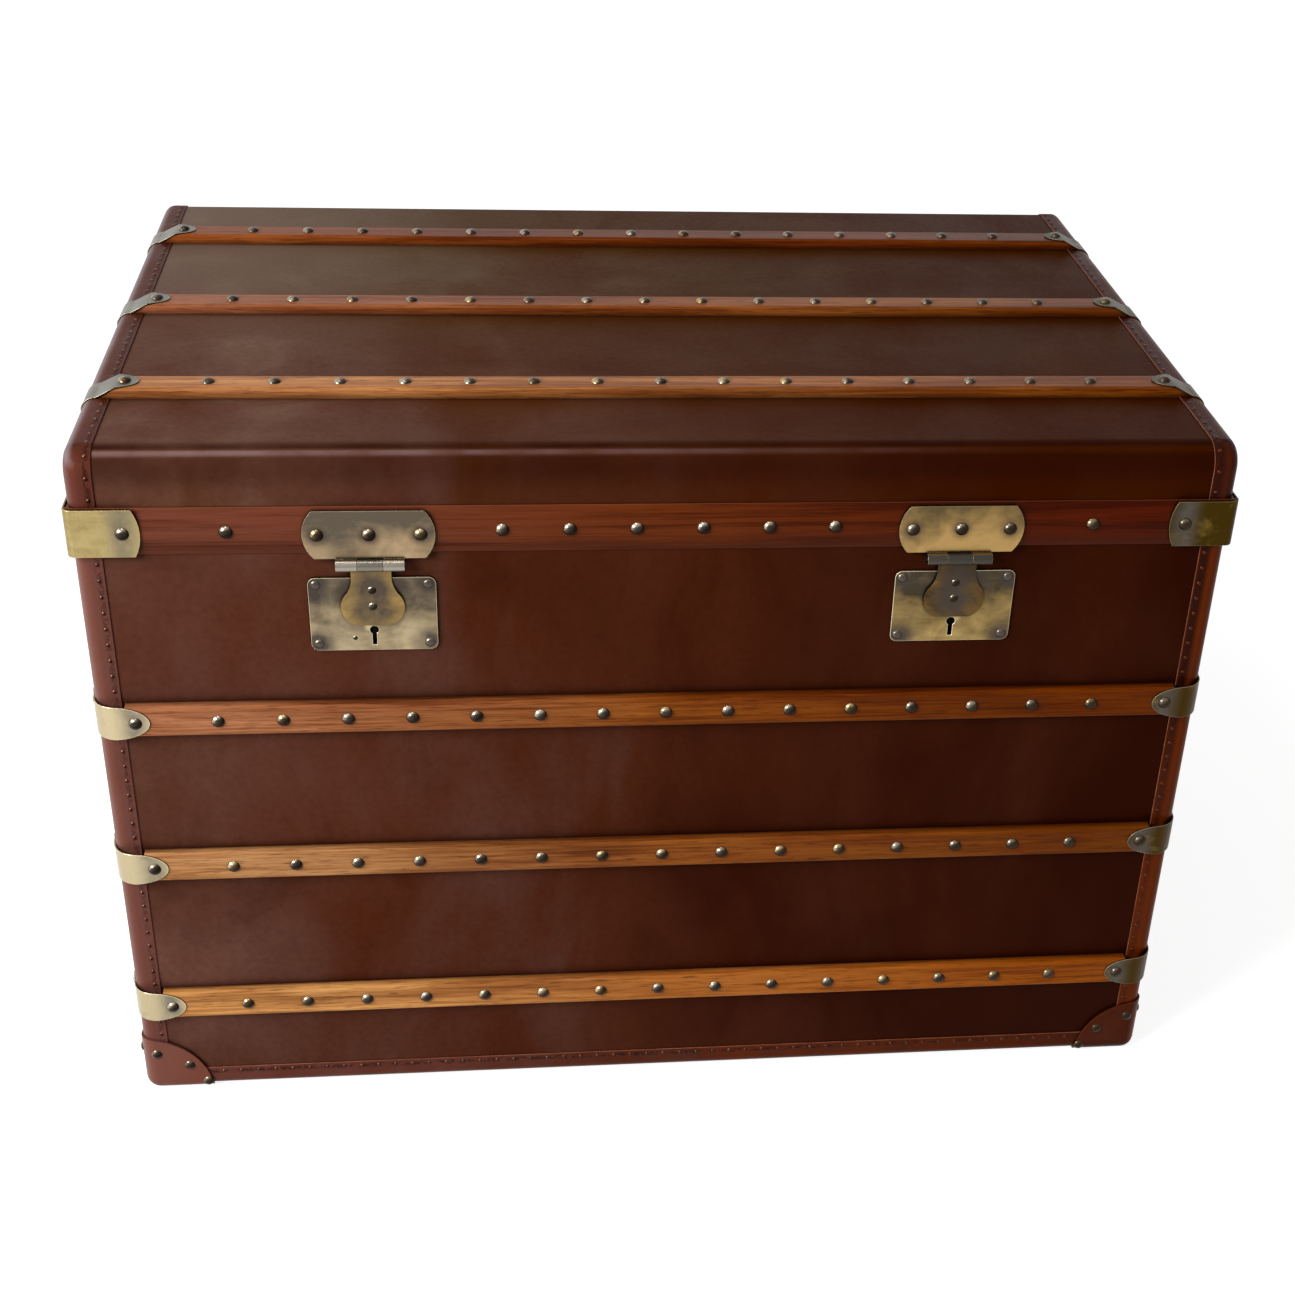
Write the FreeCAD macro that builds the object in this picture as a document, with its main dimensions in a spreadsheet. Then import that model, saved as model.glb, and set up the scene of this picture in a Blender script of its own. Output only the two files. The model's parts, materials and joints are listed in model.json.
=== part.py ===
"""Leather travelling trunk with wooden slats, a hinged lid, two hasp locks and end handles."""
import FreeCAD, Part
import math
import os
import re
import Sketcher
from FreeCAD import Placement, Rotation, Vector

# Driving sizes in millimetres: X runs along the front, -Y is the front, z = 0 is the floor.
SIZES = {
    # case over its leather, up to the seam under the lid
    "case_width": 900, "case_depth": 604, "case_height": 533,
    "board_thickness": 10, "leather_thickness": 2, "lining_thickness": 1.5,
    "edge_radius": 8, "base_ease": 1,
    # leather bindings over the edges, and the leather corners that the trunk stands on
    "binding_thickness": 3, "binding_width": 22,
    "corner_thickness": 2, "corner_reach": 57,
    # lid over its leather, measured up from the seam, with its wooden rim
    "seam_gap": 0.4, "lid_height": 83, "lid_radius": 20,
    "rim_height": 39, "rim_proud": 4, "rim_end_proud": 2.5, "rim_lip": 1, "rim_corner_radius": 5,
    "clamp_thickness": 1.5, "clamp_reach": 54, "clamp_bow": 5, "clamp_nail_margin": 13,
    # slats, with the middle line of each as a share of the case's height or a distance from the lid's edge
    "slat_width": 27, "slat_thickness": 9, "end_slat_thickness": 4, "slat_radius": 3, "slat_end_inset": 23.5,
    "slat_taper": 15.5, "slat_end_margin": 3,
    "upper_slat_share": 0.73, "middle_slat_share": 0.465, "lower_slat_share": 0.191, "lid_slat_inset": 116,
    # brass clips on the slats' ends
    "clip_thickness": 1.2, "clip_lap": 3, "clip_reach": 42, "clip_shoulder": 12.5, "clip_nail_margin": 11,
    "clip_bend_radius": 18,
    "clip_drop": 21, "clip_drop_shoulder": 8, "clip_drop_margin": 7,
    # dome nails and flat rivets, with the last nail's distance from each corner
    "nail_diameter": 10.5, "nail_rise": 3, "nail_margin": 94.4, "rim_nail_margin": 114,
    "rivet_diameter": 8, "rivet_rise": 1.6,
    # locks, with each one's place as a share of half the width, and heights down from the seam
    "lock_share": 0.511, "lock_plate_width": 98, "lock_plate_height": 64, "lock_plate_drop": 21,
    "lock_plate_thickness": 2, "lock_plate_radius": 6, "lock_rivet_inset": 6,
    "lock_case_width": 56, "lock_case_margin": 3, "lock_case_skin": 2,
    "keyhole_rise": 18, "keyhole_radius": 3.5, "keyhole_depth": 5,
    "keyhole_slot_width": 3.4, "keyhole_slot_length": 13,
    "channel_width": 8, "channel_sink": 9.5, "channel_play": 0.5,
    "bolt_size": 4, "bolt_length": 15, "bolt_drop": 36, "bolt_depth": 3.4,
    "bolt_clearance": 0.1, "bolt_gap": 0.6, "bolt_catch": 3,
    # hasps, with the flap's heights down from its axis
    "hasp_plate_thickness": 1.8, "hasp_plate_width": 100, "hasp_plate_bow": 8,
    "hasp_plate_margin": 2, "hasp_plate_sink": 2.9, "hasp_nail_margin": 11,
    "hasp_axis_drop": 7.5, "hasp_axis_gap": 3.3, "hasp_barrel_radius": 5, "hasp_barrel_width": 52,
    "hasp_knuckle_width": 20, "knuckle_gap": 0.3, "pin_radius": 1.75, "pin_clearance": 0.05,
    "flap_gap": 0.4, "flap_thickness": 2.2,
    "flap_neck_width": 31, "flap_waist_width": 40, "flap_foot_width": 28,
    "flap_top_drop": 6.5, "flap_neck_drop": 14.5, "flap_waist_drop": 26.5, "flap_foot_drop": 54,
    "flap_waist_bow": 0.8, "flap_lobe_bow": 7.4, "flap_link_overlap": 4,
    "staple_width": 6, "staple_wall": 2, "staple_play": 0.7,
    # hinges on the back
    "hinge_share": 0.511, "hinge_width": 70, "hinge_leaf_drop": 52, "hinge_leaf_margin": 1.5,
    "hinge_leaf_thickness": 2, "hinge_leaf_clearance": 7, "hinge_rivet_inset": 9,
    "hinge_axis_gap": 0.3, "hinge_barrel_radius": 4, "hinge_knuckle_width": 30,
    "hinge_arm_gap": 2.5, "hinge_arm_height": 8, "hinge_arm_reach": 1.5,
    # end handles, between the upper and the middle slats
    "handle_slat_drop": 44, "handle_axis_out": 14, "handle_rod_radius": 4, "handle_bend_radius": 10,
    "handle_end_gap": 2, "grip_clearance": 13, "grip_radius": 9, "grip_end_radius": 7, "grip_gap": 1,
    "saddle_offset": 84, "saddle_plate_width": 34, "saddle_plate_height": 40, "saddle_thickness": 3,
    "saddle_plate_radius": 5, "saddle_eye_radius": 8, "saddle_eye_length": 14, "saddle_web_height": 12,
    "saddle_rivet_inset": 6,
    # one overrun for every cut that leaves its blank
    "overrun": 5,
}

# Places of the nails from the middle of each side, in steps of their pitch.
SLAT_NAIL_STEPS = range(-7, 8)
END_SLAT_NAIL_STEPS = range(-4, 5)
RIM_NAIL_STEPS = (-6.5, -2.5, -1.5, -0.5, 0.5, 1.5, 2.5, 6.5)
RIM_END_NAIL_STEPS = (-1.5, -0.5, 0.5, 1.5)
NAIL_SIDE_COUNT = 8
NAIL_TOP_SHARE = 0.5
# How far two places may differ and still count as one.
SNUG = 0.001

doc = FreeCAD.newDocument("Trunk")
sheet = doc.addObject("Spreadsheet::Sheet", "Sizes")
for row, (alias, size) in enumerate(SIZES.items(), 1):
    sheet.set(f"A{row}", alias)
    sheet.set(f"B{row}", str(size))
    sheet.setAlias(f"B{row}", alias)
doc.recompute()

SIZE_WORD = re.compile(r"\b(" + "|".join(SIZES) + r")\b")
AXES = {"x": Vector(1, 0, 0), "y": Vector(0, 1, 0), "z": Vector(0, 0, 1)}
FACINGS = {"front": Vector(0, -1, 0), "back": Vector(0, 1, 0), "left": Vector(-1, 0, 0),
           "right": Vector(1, 0, 0), "top": Vector(0, 0, 1)}
SIDES = {"left": -1, "right": 1}
pieces = []


def bound(text):
    """The expression with each size's name turned into the sheet's cell."""
    return SIZE_WORD.sub(r"Sizes.\1", text)


def value(text):
    """The number that an expression gives with the sheet's sizes."""
    return float(sheet.evalExpression(bound(text)))


def both(half):
    """The two ends of a span that is centred on zero."""
    return f"-({half})", half


def around(middle, width):
    """The two ends of a span of this width about its middle."""
    return f"{middle} - ({width}) / 2", f"{middle} + ({width}) / 2"


def outer_span(middle, way, inner, outer):
    """The span on one side of a middle, from half the inner width to half the outer width."""
    near, far = f"{middle} + {way} * ({inner}) / 2", f"{middle} + {way} * ({outer}) / 2"
    return (near, far) if way > 0 else (far, near)


def piece(solid, label):
    """Names a finished sub-part."""
    solid.Label = label
    pieces.append(solid)
    return solid


def place(solid, x, y, z):
    """Binds where a solid sits."""
    for axis, text in zip("xyz", (x, y, z)):
        solid.setExpression(f"Placement.Base.{axis}", bound(text))
    return solid


def turned(solid, facing):
    """Turns a solid that faces the front, so that it faces another way."""
    solid.Placement = Placement(Vector(), Rotation(FACINGS["front"], FACINGS[facing]))
    return solid


def box(name, x, y, z):
    """A block between two expressions along each axis."""
    solid = doc.addObject("Part::Box", name)
    for size, (low, high) in zip(("Length", "Width", "Height"), (x, y, z)):
        solid.setExpression(size, bound(f"({high}) - ({low})"))
    return place(solid, x[0], y[0], z[0])


def cylinder(name, axis, span, centre, radius):
    """A round bar along one axis; centre gives its other two coordinates in order."""
    solid = doc.addObject("Part::Cylinder", name)
    solid.Placement = Placement(Vector(), Rotation(AXES["z"], AXES[axis]))
    solid.setExpression("Radius", bound(radius))
    solid.setExpression("Height", bound(f"({span[1]}) - ({span[0]})"))
    rest = iter(centre)
    return place(solid, *[span[0] if letter == axis else next(rest) for letter in "xyz"])


def fuse(name, *solids):
    joined = doc.addObject("Part::MultiFuse", name)
    joined.Shapes = list(solids)
    return joined


def cut(name, base, *tools):
    left = doc.addObject("Part::Cut", name)
    left.Base = base
    left.Tool = tools[0] if len(tools) == 1 else fuse(name + "_tools", *tools)
    return left


def common(name, first, second):
    shared = doc.addObject("Part::Common", name)
    shared.Base = first
    shared.Tool = second
    return shared


def group(name, solids):
    gathered = doc.addObject("Part::Compound", name)
    gathered.Links = list(solids)
    return gathered


def mirrored(solid, axis):
    """A copy reflected through the plane across one axis at the origin."""
    copy = doc.addObject("Part::Mirroring", solid.Name + "_mirror")
    copy.Source = solid
    copy.Normal = AXES[axis]
    return copy


def gathered(name, shapes):
    """A sub-part of separate solids whose shapes are worked out from the sheet's sizes."""
    feature = doc.addObject("Part::Feature", name)
    feature.Shape = Part.makeCompound(shapes)
    return piece(feature, name)


def quarter(radius):
    """How far a quarter round bows out from its chord."""
    return f"({radius}) * (1 - sqrt(0.5))"


def rounded_rectangle(x, y, radius):
    """An outline with four quarter-round corners."""
    (left, right), (low, high) = x, y
    bow = quarter(radius)
    return [(f"{left} + {radius}", low), (f"{right} - {radius}", low, bow),
            (right, f"{low} + {radius}"), (right, f"{high} - {radius}", bow),
            (f"{right} - {radius}", high), (f"{left} + {radius}", high, bow),
            (left, f"{high} - {radius}"), (left, f"{low} + {radius}", bow)]


def draw(sketch, outline, closed=True):
    """Draws an outline and ties each corner and bow to the sheet.

    Each entry is a corner (x, y), or (x, y, bow) where the stretch to the next corner is an arc
    that bows out to the right of its way, or to the left where the bow is below zero.
    """
    corners = [Vector(value(entry[0]), value(entry[1])) for entry in outline]
    stretches = len(outline) if closed else len(outline) - 1
    curves = []
    for index in range(stretches):
        start, end = corners[index], corners[(index + 1) % len(corners)]
        curve = Part.LineSegment(start, end)
        if len(outline[index]) > 2:
            way = end - start
            middle = (start + end) / 2 + Vector(way.y, -way.x).normalize() * value(outline[index][2])
            curve = Part.Arc(start, middle, end)
        number = sketch.addGeometry(curve)
        forward = (sketch.getPoint(number, 1) - start).Length < SNUG
        curves.append((number, 1, 2) if forward else (number, 2, 1))
    for index in range(stretches if closed else stretches - 1):
        number, _, tail = curves[index]
        following, head, _ = curves[(index + 1) % stretches]
        sketch.addConstraint(Sketcher.Constraint("Coincident", number, tail, following, head))
    for index, entry in enumerate(outline):
        number, head, tail = curves[min(index, stretches - 1)]
        end = head if index < stretches else tail
        for kind, text in zip(("DistanceX", "DistanceY"), entry):
            tie = sketch.addConstraint(Sketcher.Constraint(kind, -1, 1, number, end, value(text)))
            sketch.setExpression(f"Constraints[{tie}]", bound(text))
    for index in range(stretches):
        if len(outline[index]) > 2:
            start, end = outline[index], outline[(index + 1) % len(outline)]
            chord = f"(({end[0]}) - ({start[0]}))^2 + (({end[1]}) - ({start[1]}))^2"
            radius = f"({chord}) / (8 * abs({start[2]})) + abs({start[2]}) / 2"
            tie = sketch.addConstraint(Sketcher.Constraint("Radius", curves[index][0], value(radius)))
            sketch.setExpression(f"Constraints[{tie}]", bound(radius))


def body_sketch(body, name, plane, offset):
    """A sketch on one of a body's origin planes, moved along the plane's normal."""
    sketch = body.newObject("Sketcher::SketchObject", name)
    support = next(feature for feature in body.Origin.OriginFeatures if feature.Role == plane + "_Plane")
    sketch.AttachmentSupport = [(support, "")]
    sketch.MapMode = "FlatFace"
    sketch.setExpression("AttachmentOffset.Base.z", bound(offset))
    return sketch


def prism(name, plane, outline, span):
    """A body padded from an outline on one origin plane, between two places along the third axis."""
    low, high = span
    body = doc.addObject("PartDesign::Body", name)
    # the XZ plane faces -Y, so its pad starts at the far end of the span
    sketch = body_sketch(body, name + "_outline", plane, f"-({high})" if plane == "XZ" else low)
    draw(sketch, outline)
    pad = body.newObject("PartDesign::Pad", name + "_pad")
    pad.Profile = sketch
    pad.setExpression("Length", bound(f"({high}) - ({low})"))
    body.Tip = pad
    return body


def round_edges(body, radius, chosen):
    """Rounds the edges of a body that the test picks."""
    doc.recompute()
    base = body.Tip
    names = [f"Edge{number}" for number, edge in enumerate(base.Shape.Edges, 1) if chosen(edge.BoundBox)]
    fillet = body.newObject("PartDesign::Fillet", body.Name + "_round")
    fillet.Base = (base, names)
    fillet.setExpression("Radius", bound(radius))
    body.Tip = fillet
    return body


def lies_at(limits, axis, text):
    """Whether an edge's limits lie wholly at one place along an axis."""
    ends = getattr(limits, axis + "Min"), getattr(limits, axis + "Max")
    return all(abs(end - value(text)) < SNUG for end in ends)


# Surfaces that the pieces share: half widths and depths from the middle, and heights from the floor.
HALF_WIDTH = "(case_width / 2)"
HALF_DEPTH = "(case_depth / 2)"
BOARD_X = f"({HALF_WIDTH} - leather_thickness)"
BOARD_Y = f"({HALF_DEPTH} - leather_thickness)"
INNER_X = f"({BOARD_X} - board_thickness)"
INNER_Y = f"({BOARD_Y} - board_thickness)"
LINED_X = f"({INNER_X} - lining_thickness)"
LINED_Y = f"({INNER_Y} - lining_thickness)"
BINDING_X = f"({BOARD_X} + binding_thickness)"
BINDING_Y = f"({BOARD_Y} + binding_thickness)"
PANEL_X = f"({BINDING_X} - binding_width)"
PANEL_Y = f"({BINDING_Y} - binding_width)"
RIM_X = f"({HALF_WIDTH} + rim_end_proud)"
RIM_Y = f"({HALF_DEPTH} + rim_proud)"
SLAT_X = f"({HALF_WIDTH} + end_slat_thickness)"
SLAT_Y = f"({HALF_DEPTH} + slat_thickness)"
BINDING_RADIUS = "(edge_radius + binding_thickness)"

BASE_RADIUS = "(edge_radius - base_ease)"

SEAM = "case_height"
BOARD_LOW = "(corner_thickness + binding_thickness)"
FLOOR = f"({BOARD_LOW} + board_thickness)"
PANEL_LOW = "(corner_thickness + binding_width)"
LID_LOW = "(case_height + seam_gap)"
RIM_HIGH = f"({LID_LOW} + rim_height)"
LID_HIGH = "(case_height + lid_height)"
LID_SLAT_HIGH = f"({LID_HIGH} + slat_thickness)"
LID_BOARD_HIGH = f"({LID_HIGH} - leather_thickness)"
LID_INNER_HIGH = f"({LID_BOARD_HIGH} - board_thickness)"
LID_BINDING_HIGH = f"({LID_BOARD_HIGH} + binding_thickness)"
LID_PANEL_HIGH = f"({LID_BINDING_HIGH} - binding_width)"
LID_BOARD_RADIUS = "(lid_radius - leather_thickness)"
LID_INNER_RADIUS = f"({LID_BOARD_RADIUS} - board_thickness)"
LID_BEND_Y = f"({HALF_DEPTH} - lid_radius)"
LID_BEND_Z = f"({LID_HIGH} - lid_radius)"

SLAT_HEIGHTS = {level: f"({level}_slat_share * case_height)" for level in ("upper", "middle", "lower")}
LID_SLAT_ROWS = {"front": f"(lid_slat_inset - {HALF_DEPTH})", "middle": "0",
                 "rear": f"({HALF_DEPTH} - lid_slat_inset)"}
BINDING_PROUD = "(binding_thickness - leather_thickness)"
CORNER_INSET = "(edge_radius + leather_thickness)"
SLAT_END_INSET = f"({CORNER_INSET} + slat_end_margin)"
SLAT_TAPER_INSET = f"({CORNER_INSET} + slat_taper)"
SLAT_END = f"({BINDING_PROUD} + slat_end_margin * (slat_thickness - {BINDING_PROUD}) / slat_taper)"
CLIP_HALF_HEIGHT = "(slat_width + clip_lap) / 2"

LOCK_X = f"(lock_share * {HALF_WIDTH})"
LOCK_PLATE_HIGH = "(case_height - lock_plate_drop)"
LOCK_PLATE_LOW = f"({LOCK_PLATE_HIGH} - lock_plate_height)"
LOCK_CASE_Z = f"{LOCK_PLATE_LOW} + lock_case_margin", f"{LOCK_PLATE_HIGH} - lock_case_margin"
LOCK_CASE_DEPTH = "(leather_thickness + board_thickness - lock_case_skin)"
BOLT_Z = "(case_height - bolt_drop)"
STAPLE_WINDOW = "(bolt_size + 2 * staple_play)"
STAPLE_DEPTH = f"(bolt_depth + {STAPLE_WINDOW} / 2 + staple_wall)"
CHANNEL_DEPTH = f"({STAPLE_DEPTH} + channel_play)"
CHANNEL_LOW = f"({BOLT_Z} - channel_sink)"
HASP_AXIS = f"-{RIM_Y} - hasp_axis_gap", "(case_height - hasp_axis_drop)"
HASP_PLATE_Z = f"({LID_LOW} - hasp_plate_sink)", f"({RIM_HIGH} - hasp_plate_margin)"
HINGE_X = f"(hinge_share * {HALF_WIDTH})"
HINGE_AXIS = f"({RIM_Y} + hinge_barrel_radius + hinge_axis_gap)", SEAM
HINGE_LEAF_LOW = "(case_height - hinge_leaf_drop)"
HINGE_LEAF_HIGH = f"({RIM_HIGH} - hinge_leaf_margin)"

HANDLE_Z = f"({SLAT_HEIGHTS['upper']} - handle_slat_drop)"
HANDLE_DROP = f"({HANDLE_Z} - {SLAT_HEIGHTS['middle']} - slat_width / 2 - grip_radius - grip_clearance)"
HANDLE_ARM = "(saddle_offset - saddle_eye_length / 2 - handle_end_gap - handle_bend_radius)"
HANDLE_END = "(saddle_offset + saddle_eye_length / 2 + handle_end_gap)"
GRIP_HALF = f"({HANDLE_ARM} - handle_bend_radius - grip_gap)"


def wall_outline(x, outer, inner, radius):
    """The plan of a front wall whose two outer corners are round."""
    bow = quarter(radius)
    return [(f"-{x}", f"-{outer} + {radius}", bow), (f"-{x} + {radius}", f"-{outer}"),
            (f"{x} - {radius}", f"-{outer}", bow), (x, f"-{outer} + {radius}"),
            (x, f"-{inner}"), (f"-{x}", f"-{inner}")]


def lock_spaces(name):
    """The mortises in the front for the lock cases, and over each an open-topped channel for the staple."""
    spaces = []
    for side, sign in SIDES.items():
        middle = f"{sign} * {LOCK_X}"
        mortise = f"-{HALF_DEPTH}", f"-{HALF_DEPTH} + {LOCK_CASE_DEPTH}"
        channel = f"-{HALF_DEPTH}", f"-{HALF_DEPTH} + {CHANNEL_DEPTH}"
        spaces.append(box(f"{name}_mortise_{side}", around(middle, "lock_case_width"), mortise, LOCK_CASE_Z))
        spaces.append(box(f"{name}_channel_{side}", around(middle, "channel_width"), channel,
                          (CHANNEL_LOW, f"{SEAM} + overrun")))
    return spaces


def base_block(name, x, y, span, grown):
    """The trunk's rounded foot as a block, grown by this thickness over the boards."""
    block = prism(name, "XY", rounded_rectangle(both(x), both(y), f"(edge_radius + {grown})"), span)
    return round_edges(block, f"{BASE_RADIUS} + {grown}", lambda limits: lies_at(limits, "Z", span[0]))


def case_boards():
    piece(base_block("bottom_board", BOARD_X, BOARD_Y, (BOARD_LOW, FLOOR), "0"), "bottom_board")
    blank = prism("front_blank", "XY", wall_outline(BOARD_X, BOARD_Y, INNER_Y, "edge_radius"), (FLOOR, SEAM))
    piece(cut("front_board", blank, *lock_spaces("board")), "front_board")
    piece(mirrored(blank, "y"), "back_board")
    left = box("left_board", (f"-{BOARD_X}", f"-{INNER_X}"), both(INNER_Y), (FLOOR, SEAM))
    piece(left, "left_board")
    piece(mirrored(left, "x"), "right_board")


def case_leather():
    panel = box("front_panel", both(PANEL_X), (f"-{HALF_DEPTH}", f"-{BOARD_Y}"), (PANEL_LOW, SEAM))
    piece(cut("front_leather", panel, *lock_spaces("leather")), "front_leather")
    piece(box("back_leather", both(PANEL_X), (BOARD_Y, HALF_DEPTH), (PANEL_LOW, SEAM)), "back_leather")
    left = box("left_panel", (f"-{HALF_WIDTH}", f"-{BOARD_X}"), both(PANEL_Y), (PANEL_LOW, SEAM))
    piece(group("end_leathers", [left, mirrored(left, "x")]), "end_leathers")
    under = f"{BOARD_LOW} - leather_thickness", BOARD_LOW
    piece(box("bottom_leather", both(PANEL_X), both(PANEL_Y), under), "bottom_leather")


def case_lining():
    lined_floor = f"({FLOOR} + lining_thickness)"
    floor = box("floor_lining", both(INNER_X), both(INNER_Y), (FLOOR, lined_floor))
    front = box("front_lining", both(INNER_X), (f"-{INNER_Y}", f"-{LINED_Y}"), (lined_floor, SEAM))
    left = box("left_lining", (f"-{INNER_X}", f"-{LINED_X}"), both(LINED_Y), (lined_floor, SEAM))
    panels = [floor, front, mirrored(front, "y"), left, mirrored(left, "x")]
    piece(group("case_lining", panels), "case_lining")


def case_bindings():
    """Leather strips over the upright edges, and one round the bottom edge."""
    section = [(f"-{PANEL_X}", f"-{BOARD_Y}"),
               (f"-{BOARD_X} + edge_radius", f"-{BOARD_Y}", f"-{quarter('edge_radius')}"),
               (f"-{BOARD_X}", f"-{BOARD_Y} + edge_radius"),
               (f"-{BOARD_X}", f"-{PANEL_Y}"),
               (f"-{BINDING_X}", f"-{PANEL_Y}"),
               (f"-{BINDING_X}", f"-{BINDING_Y} + {BINDING_RADIUS}", quarter(BINDING_RADIUS)),
               (f"-{BINDING_X} + {BINDING_RADIUS}", f"-{BINDING_Y}"),
               (f"-{PANEL_X}", f"-{BINDING_Y}")]
    corner = prism("corner_binding", "XY", section, (PANEL_LOW, SEAM))
    right = mirrored(corner, "x")
    strips = [corner, right, mirrored(corner, "y"), mirrored(right, "y")]
    piece(group("corner_bindings", strips), "corner_bindings")

    outside = base_block("binding_outside", BINDING_X, BINDING_Y, ("corner_thickness", PANEL_LOW),
                         "binding_thickness")
    inside = base_block("binding_inside", BOARD_X, BOARD_Y, (BOARD_LOW, f"{PANEL_LOW} + overrun"), "0")
    opening = box("binding_opening", both(PANEL_X), both(PANEL_Y), ("-overrun", f"{PANEL_LOW} + overrun"))
    piece(cut("base_binding", outside, inside, opening), "base_binding")


def base_corners():
    """Leather caps on the four bottom corners, each as far as one reach from its corner."""
    cap_x = f"({BINDING_X} + corner_thickness)"
    cap_y = f"({BINDING_Y} + corner_thickness)"
    outside = base_block("cap_outside", cap_x, cap_y, ("0", "corner_reach + overrun"), BOARD_LOW)
    inside = base_block("cap_inside", BINDING_X, BINDING_Y,
                        ("corner_thickness", "corner_reach + 2 * overrun"), "binding_thickness")
    reaches = []
    for x_sign in SIDES.values():
        for y_sign in SIDES.values():
            reach = doc.addObject("Part::Sphere", "cap_reach")
            reach.setExpression("Radius", bound("corner_reach"))
            place(reach, f"{x_sign} * {BINDING_X}", f"{y_sign} * {BINDING_Y}", "corner_thickness")
            reaches.append(reach)
    shell = cut("cap_shell", outside, inside)
    piece(common("base_corners", shell, fuse("cap_reaches", *reaches)), "base_corners")


def slat(name, half_length, thickness):
    """A slat along X, seated at y = 0 and standing out to -Y, with rounded front edges."""
    blank = [(f"-{half_length}", "0"), (f"-{half_length}", f"-{thickness}"),
             (half_length, f"-{thickness}"), (half_length, "0")]
    bar = prism(name, "XY", blank, both("slat_width / 2"))
    return round_edges(bar, "slat_radius",
                       lambda limits: lies_at(limits, "Y", f"-{thickness}") and limits.ZLength < SNUG)


def case_slats():
    half_width, half_depth = f"({HALF_WIDTH} - slat_end_inset)", f"({HALF_DEPTH} - slat_end_inset)"
    for level, height in SLAT_HEIGHTS.items():
        bar = slat(f"front_slat_{level}", half_width, "slat_thickness")
        piece(place(bar, "0", f"-{HALF_DEPTH}", height), f"front_slat_{level}")
    walls = {"back": (half_width, "slat_thickness", "0", HALF_DEPTH),
             "left": (half_depth, "end_slat_thickness", f"-{HALF_WIDTH}", "0"),
             "right": (half_depth, "end_slat_thickness", HALF_WIDTH, "0")}
    for wall, (half_length, thickness, x, y) in walls.items():
        bars = []
        for level, height in SLAT_HEIGHTS.items():
            bar = turned(slat(f"{wall}_slat_{level}", half_length, thickness), wall)
            bars.append(place(bar, x, y, height))
        piece(group(f"{wall}_slats", bars), f"{wall}_slats")


def lid_slat(name):
    """A slat that runs over the lid's bindings at both ends, where its face tapers to the corners."""
    end = f"({HALF_WIDTH} - {SLAT_END_INSET})"
    taper = f"({HALF_WIDTH} - {SLAT_TAPER_INSET})"
    right = [(PANEL_X, "0"), (PANEL_X, f"-{BINDING_PROUD}"), (end, f"-{BINDING_PROUD}"),
             (end, f"-{SLAT_END}"), (taper, "-slat_thickness"), (taper, "-slat_thickness - overrun")]
    left = [(f"-{x}", y) for x, y in reversed(right)]
    form = prism(f"{name}_form", "XY", right + left, both("slat_width / 2 + overrun"))
    return common(name, slat(f"{name}_bar", end, "slat_thickness"), form)


def lid_slats():
    for row, y in LID_SLAT_ROWS.items():
        bar = turned(lid_slat(f"lid_slat_{row}"), "top")
        piece(place(bar, "0", y, LID_HIGH), f"lid_slat_{row}")


def bent_strip(first, last, bend, radius, thickness, half_height):
    """A strip bent a quarter turn about an upright line, centred on z = 0, round a corner at -X and -Y.

    first holds the points of the leg along X on the side that seats, from its tip to the bend, and
    last those of the leg along Y, from the bend to its tip. The strip stands over its height by the
    overrun, for tongues to trim.
    """
    half_height = half_height + value("overrun")
    diagonal = Vector(-1, -1).normalize()
    near_arc, far_arc = [
        Part.Arc(bend + Vector(0, -reach), bend + diagonal * reach, bend + Vector(-reach, 0))
        for reach in (radius, radius + thickness)]
    near_legs = [*first, near_arc.StartPoint], [near_arc.EndPoint, *last]
    far_legs = ([leg + Vector(0, -thickness) for leg in first] + [far_arc.StartPoint],
                [far_arc.EndPoint] + [leg + Vector(-thickness, 0) for leg in last])
    runs = [*near_legs, *far_legs, [near_legs[0][0], far_legs[0][0]], [near_legs[1][-1], far_legs[1][-1]]]
    edges = [edge for run in runs for edge in Part.makePolygon(run).Edges]
    border = Part.Wire(Part.__sortEdges__(edges + [near_arc.toShape(), far_arc.toShape()]))
    return Part.Face(border).extrude(Vector(0, 0, 2 * half_height)).translated(Vector(0, 0, -half_height))


def tongue(reach, shoulder, half_height, back, depth):
    """A block whose outline along X is straight to its shoulder and then rounds in to its tip."""
    low, high = Vector(shoulder, -half_height), Vector(shoulder, half_height)
    if reach - shoulder > half_height:
        oval = Part.Ellipse(Vector(reach, 0), high, Vector(shoulder, 0))
        tip = Part.ArcOfEllipse(oval, -math.pi / 2, math.pi / 2)
    else:
        tip = Part.Arc(low, Vector(reach, 0), high)
    straight = Part.makePolygon([high, Vector(-back, half_height), Vector(-back, -half_height), low])
    outline = Part.Face(Part.Wire(Part.__sortEdges__([tip.toShape(), *straight.Edges])))
    block = outline.translated(Vector(0, 0, back)).extrude(Vector(0, 0, -back - depth))
    # stands the outline up, with its depth along +Y
    block.Placement = Placement(Vector(), Rotation(AXES["y"], AXES["z"]))
    return block


def trimmed(strip, first, last, half_height):
    """A bent strip with both legs cut to tongues; each leg is given by its reach and shoulder."""
    back = value("slat_thickness + overrun")
    depth = max(first[0], last[0]) + back
    along = tongue(*first, half_height, back, depth)
    across = tongue(*last, half_height, back, depth).mirror(Vector(), Vector(1, -1, 0))
    return strip.common(along).common(across)


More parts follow.
